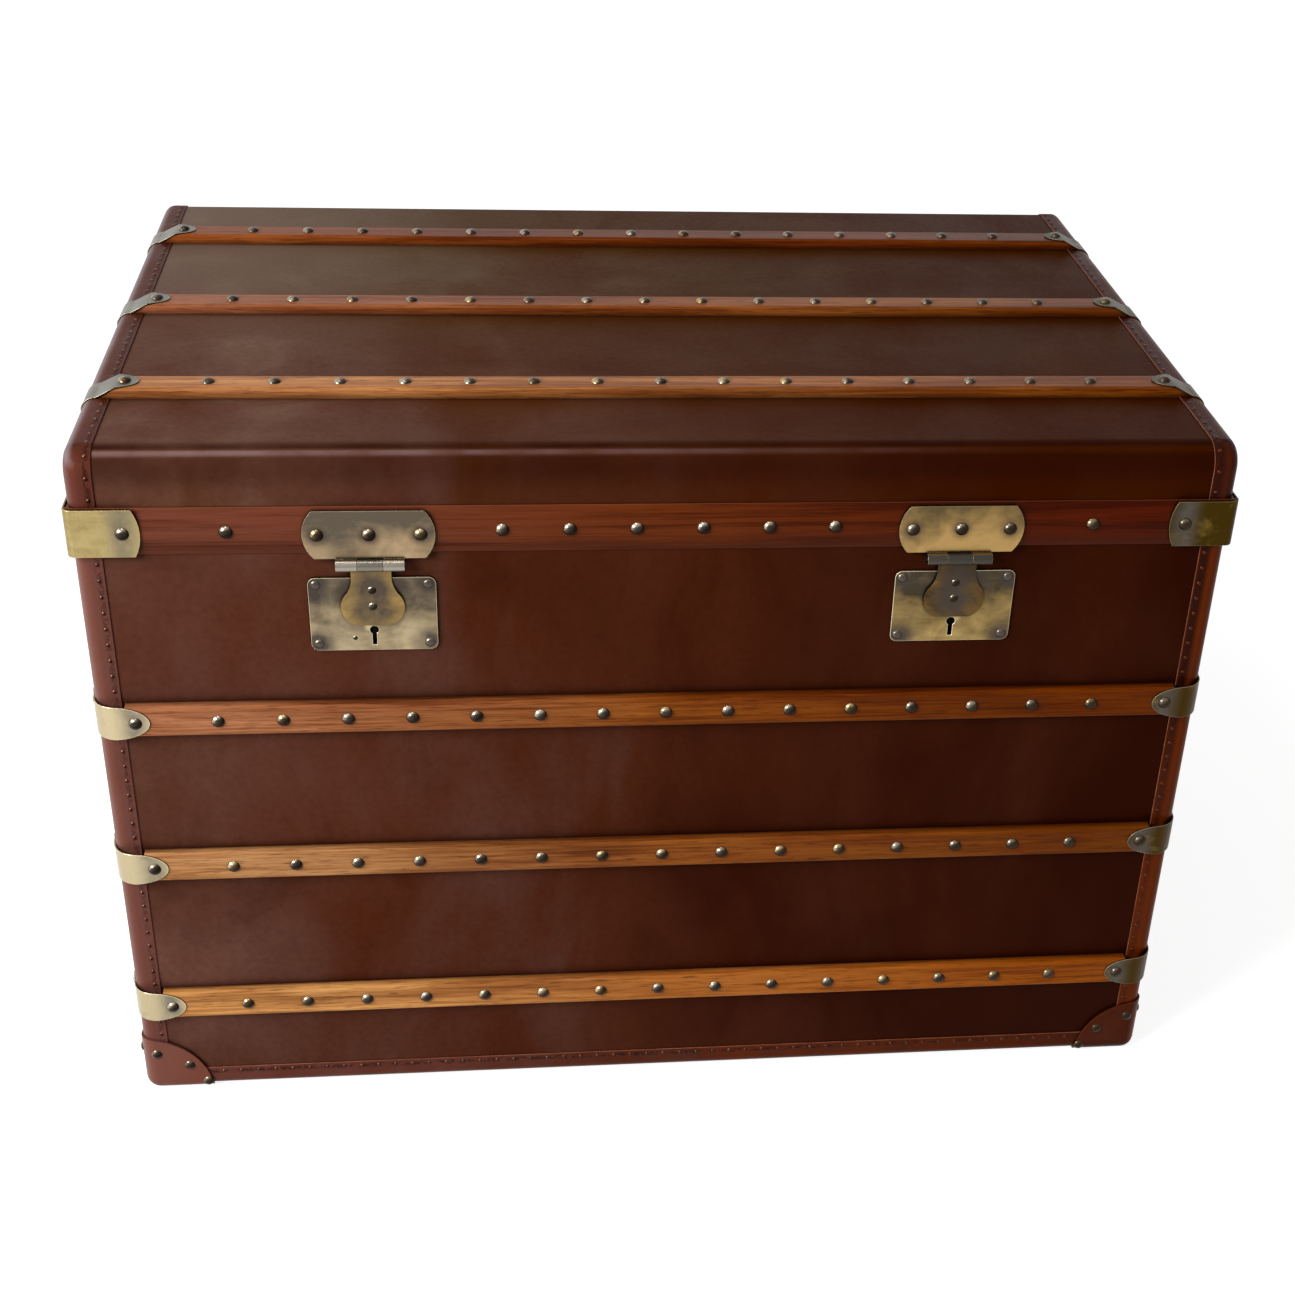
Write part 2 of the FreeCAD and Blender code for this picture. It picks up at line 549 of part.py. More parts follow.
def case_clip():
    """The clip that joins two slats round an upright edge, with the leathers' corner at its origin.

    It keeps the front slat's height to a wide bend, and meets the binding before it climbs the end slat.
    """
    half_height = value(CLIP_HALF_HEIGHT)
    reach, radius = value("clip_reach"), value("clip_bend_radius")
    front, end = value("slat_thickness"), value("end_slat_thickness")
    bend = Vector(radius - value(BINDING_PROUD), radius - front)
    last = [Vector(-end, value("slat_end_inset")), Vector(-end, reach)]
    strip = bent_strip([Vector(reach, -front)], last, bend, radius, value("clip_thickness"), half_height)
    leg = reach, value("clip_shoulder")
    return trimmed(strip, leg, leg, half_height)


def lid_cap():
    """The clip from a lid slat down the lid's end; its own Y runs down the end."""
    inset, rise = value(CORNER_INSET), value("slat_thickness")
    half_height = value(CLIP_HALF_HEIGHT)
    first = [Vector(value("clip_reach"), -rise), Vector(value(SLAT_TAPER_INSET), -rise)]
    last = [Vector(-value(BINDING_PROUD), value("clip_drop"))]
    strip = bent_strip(first, last, Vector(inset, inset), value(BINDING_RADIUS), value("clip_thickness"),
                       half_height)
    drop = value("clip_drop"), value("clip_drop_shoulder")
    return trimmed(strip, (value("clip_reach"), value("clip_shoulder")), drop, half_height)


def rim_clamp():
    """The clamp round one corner of the rim, with the rim's corner at its origin."""
    radius, reach = value("rim_corner_radius"), value("clamp_reach")
    half_height = value("rim_height / 2")
    bend = Vector(radius, radius)
    strip = bent_strip([Vector(reach, 0)], [Vector(0, reach)], bend, radius, value("clamp_thickness"),
                       half_height)
    leg = reach, value("clamp_reach - clamp_bow")
    return trimmed(strip, leg, leg, half_height)


def four_corners(shape, x, y, heights):
    """Copies of a front-left corner piece at all four corners, at each height."""
    copies = []
    for height in heights:
        left = shape.translated(Vector(-value(x), -value(y), value(height)))
        right = left.mirror(Vector(), AXES["x"])
        copies += [left, right, left.mirror(Vector(), AXES["y"]), right.mirror(Vector(), AXES["y"])]
    return copies


def brass_clips():
    gathered("slat_clips", four_corners(case_clip(), HALF_WIDTH, HALF_DEPTH, SLAT_HEIGHTS.values()))
    gathered("rim_clamps", four_corners(rim_clamp(), RIM_X, RIM_Y, [f"{LID_LOW} + rim_height / 2"]))
    cap = lid_cap()
    cap.Placement = Placement(Vector(), Rotation(AXES["z"], AXES["y"]))
    caps = []
    for y in LID_SLAT_ROWS.values():
        left = cap.translated(Vector(-value(HALF_WIDTH), value(y), value(LID_HIGH)))
        caps += [left, left.mirror(Vector(), AXES["x"])]
    gathered("lid_slat_caps", caps)


def stud(facing, x, y, z, size="nail"):
    """A nail's or a rivet's head at one place, seated on its back, with a faceted dome."""
    radius, rise = value(f"{size}_diameter / 2"), value(f"{size}_rise")
    turns = [2 * math.pi * step / NAIL_SIDE_COUNT for step in range(NAIL_SIDE_COUNT + 1)]
    rings = []
    for reach, level in ((radius, 0), (radius * NAIL_TOP_SHARE, rise)):
        corners = [Vector(reach * math.cos(turn), reach * math.sin(turn), level) for turn in turns]
        rings.append(Part.makePolygon(corners))
    head = Part.makeLoft(rings, True, True)
    head.Placement = Placement(Vector(value(x), value(y), value(z)), Rotation(AXES["z"], FACINGS[facing]))
    return head


def row(half_length, margin, steps):
    """Places along one side, symmetric about its middle, with the last one this far from the corner."""
    return [f"{step} * ({half_length} - {margin}) / {max(steps)}" for step in steps]


def case_nails():
    heads = []
    clip_x = f"({HALF_WIDTH} - clip_reach + clip_nail_margin)"
    clip_y = f"({HALF_DEPTH} - clip_reach + clip_nail_margin)"
    for height in SLAT_HEIGHTS.values():
        for along in row(HALF_WIDTH, "nail_margin", SLAT_NAIL_STEPS):
            heads.append(stud("front", along, f"-{SLAT_Y}", height))
            heads.append(stud("back", along, SLAT_Y, height))
        for along in row(HALF_DEPTH, "nail_margin", END_SLAT_NAIL_STEPS):
            heads.append(stud("left", f"-{SLAT_X}", along, height))
            heads.append(stud("right", SLAT_X, along, height))
        for sign in SIDES.values():
            heads.append(stud("front", f"{sign} * {clip_x}", f"-{SLAT_Y} - clip_thickness", height))
            heads.append(stud("back", f"{sign} * {clip_x}", f"{SLAT_Y} + clip_thickness", height))
            heads.append(stud("left", f"-{SLAT_X} - clip_thickness", f"{sign} * {clip_y}", height))
            heads.append(stud("right", f"{SLAT_X} + clip_thickness", f"{sign} * {clip_y}", height))
    plate_y = f"-{HALF_DEPTH} - lock_plate_thickness"
    leaf_y = f"{HALF_DEPTH} + hinge_leaf_thickness"
    for sign in SIDES.values():
        for way in SIDES.values():
            across = f"{sign} * {LOCK_X} + {way} * (lock_plate_width / 2 - lock_rivet_inset)"
            heads.append(stud("front", across, plate_y, f"{LOCK_PLATE_LOW} + lock_rivet_inset", "rivet"))
            heads.append(stud("front", across, plate_y, f"{LOCK_PLATE_HIGH} - lock_rivet_inset", "rivet"))
            across = f"{sign} * {HINGE_X} + {way} * (hinge_width / 2 - hinge_rivet_inset)"
            heads.append(stud("back", across, leaf_y, f"{HINGE_LEAF_LOW} + hinge_rivet_inset", "rivet"))
            for facing, plate_x in (("left", f"-{HALF_WIDTH} - saddle_thickness"),
                                    ("right", f"{HALF_WIDTH} + saddle_thickness")):
                along = f"{sign} * saddle_offset + {way} * (saddle_plate_width / 2 - saddle_rivet_inset)"
                reach = "(saddle_plate_height / 2 - saddle_rivet_inset)"
                heads.append(stud(facing, plate_x, along, f"{HANDLE_Z} + {reach}", "rivet"))
                heads.append(stud(facing, plate_x, along, f"{HANDLE_Z} - {reach}", "rivet"))
    gathered("case_nails", heads)


def lid_nails():
    heads = []
    for y in LID_SLAT_ROWS.values():
        for along in row(HALF_WIDTH, "nail_margin", SLAT_NAIL_STEPS):
            heads.append(stud("top", along, y, LID_SLAT_HIGH))
        for facing, sign in SIDES.items():
            clip_x = f"{sign} * ({HALF_WIDTH} - clip_reach + clip_nail_margin)"
            heads.append(stud("top", clip_x, y, f"{LID_SLAT_HIGH} + clip_thickness"))
            end_x = f"{sign} * ({BINDING_X} + clip_thickness)"
            heads.append(stud(facing, end_x, y, f"{LID_HIGH} - clip_drop + clip_drop_margin"))
    rim_middle = f"{LID_LOW} + rim_height / 2"
    for along in row(HALF_WIDTH, "rim_nail_margin", RIM_NAIL_STEPS):
        heads.append(stud("front", along, f"-{RIM_Y}", rim_middle))
        heads.append(stud("back", along, RIM_Y, rim_middle))
    for along in row(HALF_DEPTH, "rim_nail_margin", RIM_END_NAIL_STEPS):
        heads.append(stud("left", f"-{RIM_X}", along, rim_middle))
        heads.append(stud("right", RIM_X, along, rim_middle))
    for sign in SIDES.values():
        clamp_x = f"{sign} * ({RIM_X} - clamp_reach + clamp_nail_margin)"
        clamp_y = f"{sign} * ({RIM_Y} - clamp_reach + clamp_nail_margin)"
        heads.append(stud("front", clamp_x, f"-{RIM_Y} - clamp_thickness", rim_middle))
        heads.append(stud("back", clamp_x, f"{RIM_Y} + clamp_thickness", rim_middle))
        heads.append(stud("left", f"-{RIM_X} - clamp_thickness", clamp_y, rim_middle))
        heads.append(stud("right", f"{RIM_X} + clamp_thickness", clamp_y, rim_middle))
        for way in (-1, 0, 1):
            across = f"{sign} * {LOCK_X} + {way} * (hasp_plate_width / 2 - hasp_nail_margin)"
            heads.append(stud("front", across, f"-{RIM_Y} - hasp_plate_thickness",
                              f"({HASP_PLATE_Z[0]} + {HASP_PLATE_Z[1]}) / 2"))
        for way in SIDES.values():
            across = f"{sign} * {HINGE_X} + {way} * (hinge_width / 2 - hinge_rivet_inset)"
            heads.append(stud("back", across, f"{RIM_Y} + hinge_leaf_thickness",
                              f"{HINGE_LEAF_HIGH} - hinge_rivet_inset", "rivet"))
    gathered("lid_nails", heads)


def keyhole(name, x, y):
    """A round hole with a slot below it, as a tool through this depth."""
    z = f"{LOCK_PLATE_LOW} + keyhole_rise"
    eye = cylinder(name + "_eye", "y", y, (x, z), "keyhole_radius")
    slot = box(name + "_slot", around(x, "keyhole_slot_width"), y, (f"{z} - keyhole_slot_length", z))
    return fuse(name, eye, slot)


def lock(side, sign):
    """A lock plate on the front, the lock case let into the board behind it, and its sliding bolt."""
    middle = f"{sign} * {LOCK_X}"
    face = f"-{HALF_DEPTH}"
    front = f"{face} - lock_plate_thickness"
    channel = around(middle, "channel_width")

    outline = rounded_rectangle(around(middle, "lock_plate_width"), (LOCK_PLATE_LOW, LOCK_PLATE_HIGH),
                                "lock_plate_radius")
    blank = prism(f"lock_plate_blank_{side}", "XZ", outline, (front, face))
    through = f"{front} - overrun", f"{face} + overrun"
    notch = box(f"plate_notch_{side}", channel, through, (CHANNEL_LOW, SEAM))
    hole = keyhole(f"plate_keyhole_{side}", middle, through)
    piece(cut(f"lock_plate_{side}", blank, notch, hole), f"lock_plate_{side}")

    case = box(f"lock_block_{side}", around(middle, "lock_case_width"), (face, f"{face} + {LOCK_CASE_DEPTH}"),
               LOCK_CASE_Z)
    slot = box(f"case_channel_{side}", channel, (f"{face} - overrun", f"{face} + {CHANNEL_DEPTH}"),
               (CHANNEL_LOW, SEAM))
    tip = f"{middle} - channel_width / 2 - bolt_gap"
    heel = f"{tip} - bolt_length"
    depth = f"{face} + bolt_depth"
    bore = "bolt_size + 2 * bolt_clearance"
    groove = box(f"bolt_groove_{side}", (f"{heel} - bolt_gap", f"{middle} + channel_width / 2 + bolt_catch"),
                 around(depth, bore), around(BOLT_Z, bore))
    recess = keyhole(f"case_keyhole_{side}", middle, (f"{face} - overrun", f"{face} + keyhole_depth"))
    piece(cut(f"lock_case_{side}", case, slot, groove, recess), f"lock_case_{side}")
    bolt = box(f"lock_bolt_{side}", (heel, tip), around(depth, "bolt_size"), around(BOLT_Z, "bolt_size"))
    piece(bolt, f"lock_bolt_{side}")


def hasp(side, sign):
    """A hasp plate on the rim, and the hasp that hangs from it with a staple; gives the pin between them."""
    middle = f"{sign} * {LOCK_X}"
    axis_z = HASP_AXIS[1]
    plate_y = f"-{RIM_Y} - hasp_plate_thickness", f"-{RIM_Y}"
    left, right = around(middle, "hasp_plate_width - 2 * hasp_plate_bow")
    low, high = HASP_PLATE_Z
    outline = [(left, low), (right, low, "hasp_plate_bow"), (right, high), (left, high, "hasp_plate_bow")]
    solids = [prism(f"hasp_plate_blank_{side}", "XZ", outline, plate_y)]
    for way in SIDES.values():
        span = outer_span(middle, way, "hasp_knuckle_width + knuckle_gap", "hasp_barrel_width")
        solids.append(box(f"hasp_tab_{side}", span, plate_y,
                          (f"{axis_z} + pin_radius", f"{LID_LOW} + overrun")))
        solids.append(cylinder(f"hasp_barrel_{side}", "x", span, HASP_AXIS, "hasp_barrel_radius"))
    barrel = around(middle, "hasp_barrel_width")
    hole = cylinder(f"plate_bore_{side}", "x", barrel, HASP_AXIS, "pin_radius")
    piece(cut(f"hasp_plate_{side}", fuse(f"hasp_plate_solid_{side}", *solids), hole), f"hasp_plate_{side}")
    pin = cylinder(f"hasp_pin_{side}", "x", barrel, HASP_AXIS, "pin_radius")

    back = f"(-{HALF_DEPTH} - lock_plate_thickness - flap_gap)"
    flap_y = f"{back} - flap_thickness", back
    (foot_left, foot_right), (waist_left, waist_right), (neck_left, neck_right) = [
        around(middle, width) for width in ("flap_foot_width", "flap_waist_width", "flap_neck_width")]
    top, neck, waist, foot = [
        f"({axis_z} - flap_{level}_drop)" for level in ("top", "neck", "waist", "foot")]
    outline = [(foot_left, foot), (foot_right, foot, "flap_lobe_bow"),
               (waist_right, waist, "-flap_waist_bow"), (neck_right, neck), (neck_right, top),
               (neck_left, top), (neck_left, neck, "-flap_waist_bow"), (waist_left, waist, "flap_lobe_bow")]
    flap = prism(f"hasp_flap_{side}", "XZ", outline, flap_y)
    knuckle = around(middle, "hasp_knuckle_width - knuckle_gap")
    link = box(f"hasp_link_{side}", knuckle, flap_y, around(top, "2 * flap_link_overlap"))
    middle_barrel = cylinder(f"hasp_knuckle_{side}", "x", knuckle, HASP_AXIS, "hasp_barrel_radius")
    staple = box(f"hasp_staple_{side}", around(middle, "staple_width"),
                 (back, f"-{HALF_DEPTH} + {STAPLE_DEPTH}"),
                 around(BOLT_Z, f"{STAPLE_WINDOW} + 2 * staple_wall"))
    eye = box(f"staple_eye_{side}", around(middle, "staple_width + 2 * overrun"),
              around(f"-{HALF_DEPTH} + bolt_depth", STAPLE_WINDOW), around(BOLT_Z, STAPLE_WINDOW))
    hole = cylinder(f"hasp_bore_{side}", "x", barrel, HASP_AXIS, "pin_radius + pin_clearance")
    solid = fuse(f"hasp_solid_{side}", flap, link, middle_barrel, staple)
    piece(cut(f"hasp_{side}", solid, eye, hole), f"hasp_{side}")
    return pin


def hinge(side, sign):
    """A hinge on the back: one leaf on the case, one on the lid's rim; gives the pin between them."""
    middle = f"{sign} * {HINGE_X}"
    whole = around(middle, "hinge_width")
    inner = around(middle, "hinge_knuckle_width - knuckle_gap")

    case_y = HALF_DEPTH, f"{HALF_DEPTH} + hinge_leaf_thickness"
    solids = [box(f"case_leaf_{side}", whole, case_y, (HINGE_LEAF_LOW, f"{SEAM} - hinge_leaf_clearance"))]
    for way in SIDES.values():
        span = outer_span(middle, way, "hinge_knuckle_width + knuckle_gap", "hinge_width")
        arm_high = f"{SEAM} - hinge_arm_gap"
        solids.append(box(f"case_arm_{side}", span, (HALF_DEPTH, f"{HINGE_AXIS[0]} + hinge_arm_reach"),
                          (f"{arm_high} - hinge_arm_height", arm_high)))
        solids.append(cylinder(f"case_knuckle_{side}", "x", span, HINGE_AXIS, "hinge_barrel_radius"))
    hole = cylinder(f"case_bore_{side}", "x", whole, HINGE_AXIS, "pin_radius")
    piece(cut(f"hinge_leaf_{side}", fuse(f"case_leaf_solid_{side}", *solids), hole), f"hinge_leaf_{side}")
    pin = cylinder(f"hinge_pin_{side}", "x", whole, HINGE_AXIS, "pin_radius")

    lid_y = RIM_Y, f"{RIM_Y} + hinge_leaf_thickness"
    leaf = box(f"lid_leaf_{side}", whole, lid_y, (f"{SEAM} + hinge_leaf_clearance", HINGE_LEAF_HIGH))
    arm_low = f"{SEAM} + hinge_arm_gap"
    arm = box(f"lid_arm_{side}", inner, (RIM_Y, HINGE_AXIS[0]), (arm_low, f"{arm_low} + hinge_arm_height"))
    knuckle = cylinder(f"lid_knuckle_{side}", "x", inner, HINGE_AXIS, "hinge_barrel_radius")
    hole = cylinder(f"lid_bore_{side}", "x", whole, HINGE_AXIS, "pin_radius + pin_clearance")
    solid = fuse(f"lid_leaf_solid_{side}", leaf, arm, knuckle)
    piece(cut(f"lid_hinge_leaf_{side}", solid, hole), f"lid_hinge_leaf_{side}")
    return pin


def lid_block(name, y, span, radius, x, rounding):
    """The right end of the lid's form as a block, with bent long edges and a rounded end."""
    low, high = span
    bow = quarter(radius)
    outline = [(f"-{y}", low), (y, low), (y, f"{high} - {radius}", bow), (f"{y} - {radius}", high),
               (f"-{y} + {radius}", high, bow), (f"-{y}", f"{high} - {radius}")]
    block = prism(name, "YZ", outline, x)
    return round_edges(block, rounding,
                       lambda limits: lies_at(limits, "X", x[1]) and not lies_at(limits, "Z", low))


def lid_boards():
    inner_bow, outer_bow = quarter(LID_INNER_RADIUS), quarter(LID_BOARD_RADIUS)
    section = [(f"-{BOARD_Y}", LID_LOW), (f"-{INNER_Y}", LID_LOW),
               (f"-{INNER_Y}", LID_BEND_Z, f"-{inner_bow}"), (f"-{LID_BEND_Y}", LID_INNER_HIGH),
               (f"-{LID_BEND_Y}", LID_BOARD_HIGH, outer_bow), (f"-{BOARD_Y}", LID_BEND_Z)]
    front = prism("lid_front_board", "YZ", section, both(INNER_X))
    piece(front, "lid_front_board")
    piece(mirrored(front, "y"), "lid_back_board")
    top = box("lid_top_board", both(INNER_X), both(LID_BEND_Y), (LID_INNER_HIGH, LID_BOARD_HIGH))
    piece(top, "lid_top_board")
    right = lid_block("lid_right_board", BOARD_Y, (LID_LOW, LID_BOARD_HIGH), LID_BOARD_RADIUS,
                      (INNER_X, BOARD_X), "edge_radius")
    piece(right, "lid_right_board")
    piece(mirrored(right, "x"), "lid_left_board")


def lid_leather():
    """A sheet from the front over the top to the back, a panel on each end, and bindings round the ends."""
    outer_bow, inner_bow = quarter("lid_radius"), quarter(LID_BOARD_RADIUS)
    section = [(f"-{HALF_DEPTH}", RIM_HIGH), (f"-{HALF_DEPTH}", LID_BEND_Z, f"-{outer_bow}"),
               (f"-{LID_BEND_Y}", LID_HIGH), (LID_BEND_Y, LID_HIGH, f"-{outer_bow}"),
               (HALF_DEPTH, LID_BEND_Z), (HALF_DEPTH, RIM_HIGH),
               (BOARD_Y, RIM_HIGH), (BOARD_Y, LID_BEND_Z, inner_bow),
               (LID_BEND_Y, LID_BOARD_HIGH), (f"-{LID_BEND_Y}", LID_BOARD_HIGH, inner_bow),
               (f"-{BOARD_Y}", LID_BEND_Z), (f"-{BOARD_Y}", RIM_HIGH)]
    piece(prism("lid_leather", "YZ", section, both(PANEL_X)), "lid_leather")
    left = box("lid_left_panel", (f"-{HALF_WIDTH}", f"-{BOARD_X}"), both(PANEL_Y), (RIM_HIGH, LID_PANEL_HIGH))
    piece(group("lid_end_leathers", [left, mirrored(left, "x")]), "lid_end_leathers")

    bend = f"({LID_BOARD_RADIUS} + binding_thickness)"
    outside = lid_block("lid_binding_outside", BINDING_Y, (RIM_HIGH, LID_BINDING_HIGH), bend,
                        (PANEL_X, BINDING_X), BINDING_RADIUS)
    inside = lid_block("lid_binding_inside", BOARD_Y, (f"{RIM_HIGH} - overrun", LID_BOARD_HIGH),
                       LID_BOARD_RADIUS, (f"{PANEL_X} - overrun", BOARD_X), "edge_radius")
    window = box("lid_binding_window", (f"{PANEL_X} - overrun", f"{BINDING_X} + overrun"), both(PANEL_Y),
                 (f"{RIM_HIGH} - overrun", LID_PANEL_HIGH))
    right = cut("lid_binding_right", outside, inside, window)
    piece(group("lid_bindings", [right, mirrored(right, "x")]), "lid_bindings")


def lid_lining():
    lined_high = f"({LID_INNER_HIGH} - lining_thickness)"
    top = box("lid_top_lining", both(INNER_X), both(LID_BEND_Y), (lined_high, LID_INNER_HIGH))
    front = box("lid_front_lining", both(INNER_X), (f"-{INNER_Y}", f"-{LINED_Y}"), (LID_LOW, LID_BEND_Z))
    outline = [(f"-{LINED_Y}", LID_LOW), (LINED_Y, LID_LOW), (LINED_Y, LID_BEND_Z), (LID_BEND_Y, lined_high),
               (f"-{LID_BEND_Y}", lined_high), (f"-{LINED_Y}", LID_BEND_Z)]
    right = prism("lid_end_lining", "YZ", outline, (LINED_X, INNER_X))
    piece(group("lid_lining", [top, front, mirrored(front, "y"), right, mirrored(right, "x")]), "lid_lining")


def crowned(outer, inner, proud):
    """A rim strip's section, with a face that is crowned from its lip."""
    crown = f"({proud} - rim_lip)"
    return [(f"-{outer} + {crown}", LID_LOW), (f"-{inner}", LID_LOW), (f"-{inner}", RIM_HIGH),
            (f"-{outer} + {crown}", RIM_HIGH, crown)]


def lid_rim():
    """Four wooden strips with crowned faces round the lid's lower edge."""
    plan = prism("front_rim_plan", "XY", wall_outline(RIM_X, RIM_Y, BOARD_Y, "rim_corner_radius"),
                 (LID_LOW, RIM_HIGH))
    section = prism("front_rim_section", "YZ", crowned(RIM_Y, f"{BOARD_Y} + overrun", "rim_proud"),
                    both(f"{RIM_X} + overrun"))
    front = common("front_rim", plan, section)
    left = prism("left_rim", "XZ", crowned(RIM_X, BOARD_X, "rim_end_proud"), both(BOARD_Y))
    piece(group("lid_rim", [front, mirrored(front, "y"), left, mirrored(left, "x")]), "lid_rim")


def handle(side, sign):
    """An iron bail with a leather grip, hung on the trunk's end; gives the two saddles that it turns in."""
    pivot = f"{sign} * ({HALF_WIDTH} + handle_axis_out)"
    bail = doc.addObject("PartDesign::Body", f"handle_bail_{side}")
    spine = body_sketch(bail, f"bail_path_{side}", "YZ", "0")
    arm, drop, bend, bow = HANDLE_ARM, HANDLE_DROP, "handle_bend_radius", quarter("handle_bend_radius")
    path = [(f"-{HANDLE_END}", "0"), (f"-{arm} - {bend}", "0", f"-{bow}"),
            (f"-{arm}", f"-{bend}"), (f"-{arm}", f"-{drop} + {bend}", bow),
            (f"-{arm} + {bend}", f"-{drop}"), (f"{arm} - {bend}", f"-{drop}", bow),
            (arm, f"-{drop} + {bend}"), (arm, f"-{bend}", f"-{bow}"),
            (f"{arm} + {bend}", "0"), (HANDLE_END, "0")]
    draw(spine, path, closed=False)
    rod = body_sketch(bail, f"bail_rod_{side}", "XZ", HANDLE_END)
    rod.addGeometry(Part.Circle(Vector(), AXES["z"], value("handle_rod_radius")))
    rod.addConstraint(Sketcher.Constraint("Coincident", 0, 3, -1, 1))
    tie = rod.addConstraint(Sketcher.Constraint("Radius", 0, value("handle_rod_radius")))
    rod.setExpression(f"Constraints[{tie}]", bound("handle_rod_radius"))
    pipe = bail.newObject("PartDesign::AdditivePipe", f"bail_pipe_{side}")
    pipe.Profile = rod
    pipe.Spine = (spine, [f"Edge{number + 1}" for number in range(spine.GeometryCount)])
    bail.Tip = pipe
    piece(place(bail, pivot, "0", HANDLE_Z), f"handle_bail_{side}")

    grip = doc.addObject("PartDesign::Body", f"handle_grip_{side}")
    half = body_sketch(grip, f"grip_half_{side}", "XY", "0")
    draw(half, [("handle_rod_radius", f"-{GRIP_HALF}"),
                ("grip_end_radius", f"-{GRIP_HALF}", "grip_radius - grip_end_radius"),
                ("grip_end_radius", GRIP_HALF), ("handle_rod_radius", GRIP_HALF)])
    round_grip = grip.newObject("PartDesign::Revolution", f"grip_round_{side}")
    round_grip.Profile = half
    round_grip.ReferenceAxis = (half, ["V_Axis"])
    grip.Tip = round_grip
    piece(place(grip, pivot, "0", f"{HANDLE_Z} - {HANDLE_DROP}"), f"handle_grip_{side}")

    saddles = []
    axis = pivot, HANDLE_Z
    seat = outer_span("0", sign, "case_width", "case_width + 2 * saddle_thickness")
    post = outer_span("0", sign, "case_width", "case_width + 2 * handle_axis_out")
    for way in SIDES.values():
        middle = f"{way} * saddle_offset"
        outline = rounded_rectangle(around(middle, "saddle_plate_width"),
                                    around(HANDLE_Z, "saddle_plate_height"), "saddle_plate_radius")
        plate = prism(f"saddle_plate_{side}", "YZ", outline, seat)
        length = around(middle, "saddle_eye_length")
        web = box(f"saddle_web_{side}", post, length, around(HANDLE_Z, "saddle_web_height"))
        eye = cylinder(f"saddle_eye_{side}", "y", length, axis, "saddle_eye_radius")
        bore = cylinder(f"saddle_bore_{side}", "y", length, axis, "handle_rod_radius + pin_clearance")
        saddles.append(cut(f"saddle_{side}", fuse(f"saddle_solid_{side}", plate, web, eye), bore))
    return saddles


case_boards()
case_leather()
case_lining()
case_bindings()
base_corners()
case_slats()
lid_boards()
lid_leather()
lid_lining()
lid_rim()
lid_slats()
brass_clips()
case_nails()
lid_nails()
hasp_pins = []
hinge_pins = []
saddles = []
for side, sign in SIDES.items():
    lock(side, sign)
    hasp_pins.append(hasp(side, sign))
    hinge_pins.append(hinge(side, sign))
    saddles += handle(side, sign)
piece(group("hasp_pins", hasp_pins), "hasp_pins")
piece(group("hinge_pins", hinge_pins), "hinge_pins")
piece(group("handle_saddles", saddles), "handle_saddles")

doc.recompute()
for item in doc.Objects:
    if "Invalid" in item.State or "Error" in item.State:
        raise RuntimeError(f"{item.Label} did not build: {item.State}")
os.makedirs("parts", exist_ok=True)
for item in pieces:
    if item.Shape.isNull() or not item.Shape.isValid():
        raise RuntimeError(f"{item.Label} has no sound shape")
    item.Shape.exportStep(f"parts/{item.Label}.step")
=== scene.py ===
import json
import math

import bmesh
import bpy
from mathutils import Matrix, Vector

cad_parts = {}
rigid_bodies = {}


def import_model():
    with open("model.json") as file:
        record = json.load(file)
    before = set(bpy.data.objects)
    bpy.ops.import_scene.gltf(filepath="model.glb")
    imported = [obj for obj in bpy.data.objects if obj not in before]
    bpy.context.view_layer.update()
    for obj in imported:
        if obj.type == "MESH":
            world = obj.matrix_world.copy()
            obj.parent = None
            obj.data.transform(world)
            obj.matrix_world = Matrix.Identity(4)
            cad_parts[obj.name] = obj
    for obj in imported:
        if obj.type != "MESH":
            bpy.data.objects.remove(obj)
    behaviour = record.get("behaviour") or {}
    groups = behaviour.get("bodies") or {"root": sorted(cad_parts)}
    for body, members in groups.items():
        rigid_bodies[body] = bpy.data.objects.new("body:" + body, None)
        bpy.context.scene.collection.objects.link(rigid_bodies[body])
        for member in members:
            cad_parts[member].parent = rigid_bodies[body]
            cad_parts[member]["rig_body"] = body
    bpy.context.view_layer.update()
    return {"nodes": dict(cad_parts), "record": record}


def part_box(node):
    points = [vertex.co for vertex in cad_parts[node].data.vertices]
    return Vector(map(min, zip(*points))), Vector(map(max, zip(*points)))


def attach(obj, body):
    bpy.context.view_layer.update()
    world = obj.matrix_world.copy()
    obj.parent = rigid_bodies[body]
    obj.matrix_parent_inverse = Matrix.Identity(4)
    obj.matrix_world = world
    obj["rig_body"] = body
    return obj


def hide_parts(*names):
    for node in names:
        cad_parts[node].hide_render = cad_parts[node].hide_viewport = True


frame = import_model()
scene = bpy.context.scene
scene.view_settings.view_transform = "Standard"

MM = 0.001
SLAT_ROWS = ("front_slat_upper", "front_slat_middle", "front_slat_lower")
LID_SLAT_ROWS = ("lid_slat_front", "lid_slat_middle", "lid_slat_rear")
SLOTS = {part["node"]: part["material_slot"] for part in frame["record"]["subparts"]}


def middle(node):
    """The middle of a node's box."""
    low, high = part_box(node)
    return (low + high) / 2


# places and sizes from the frame

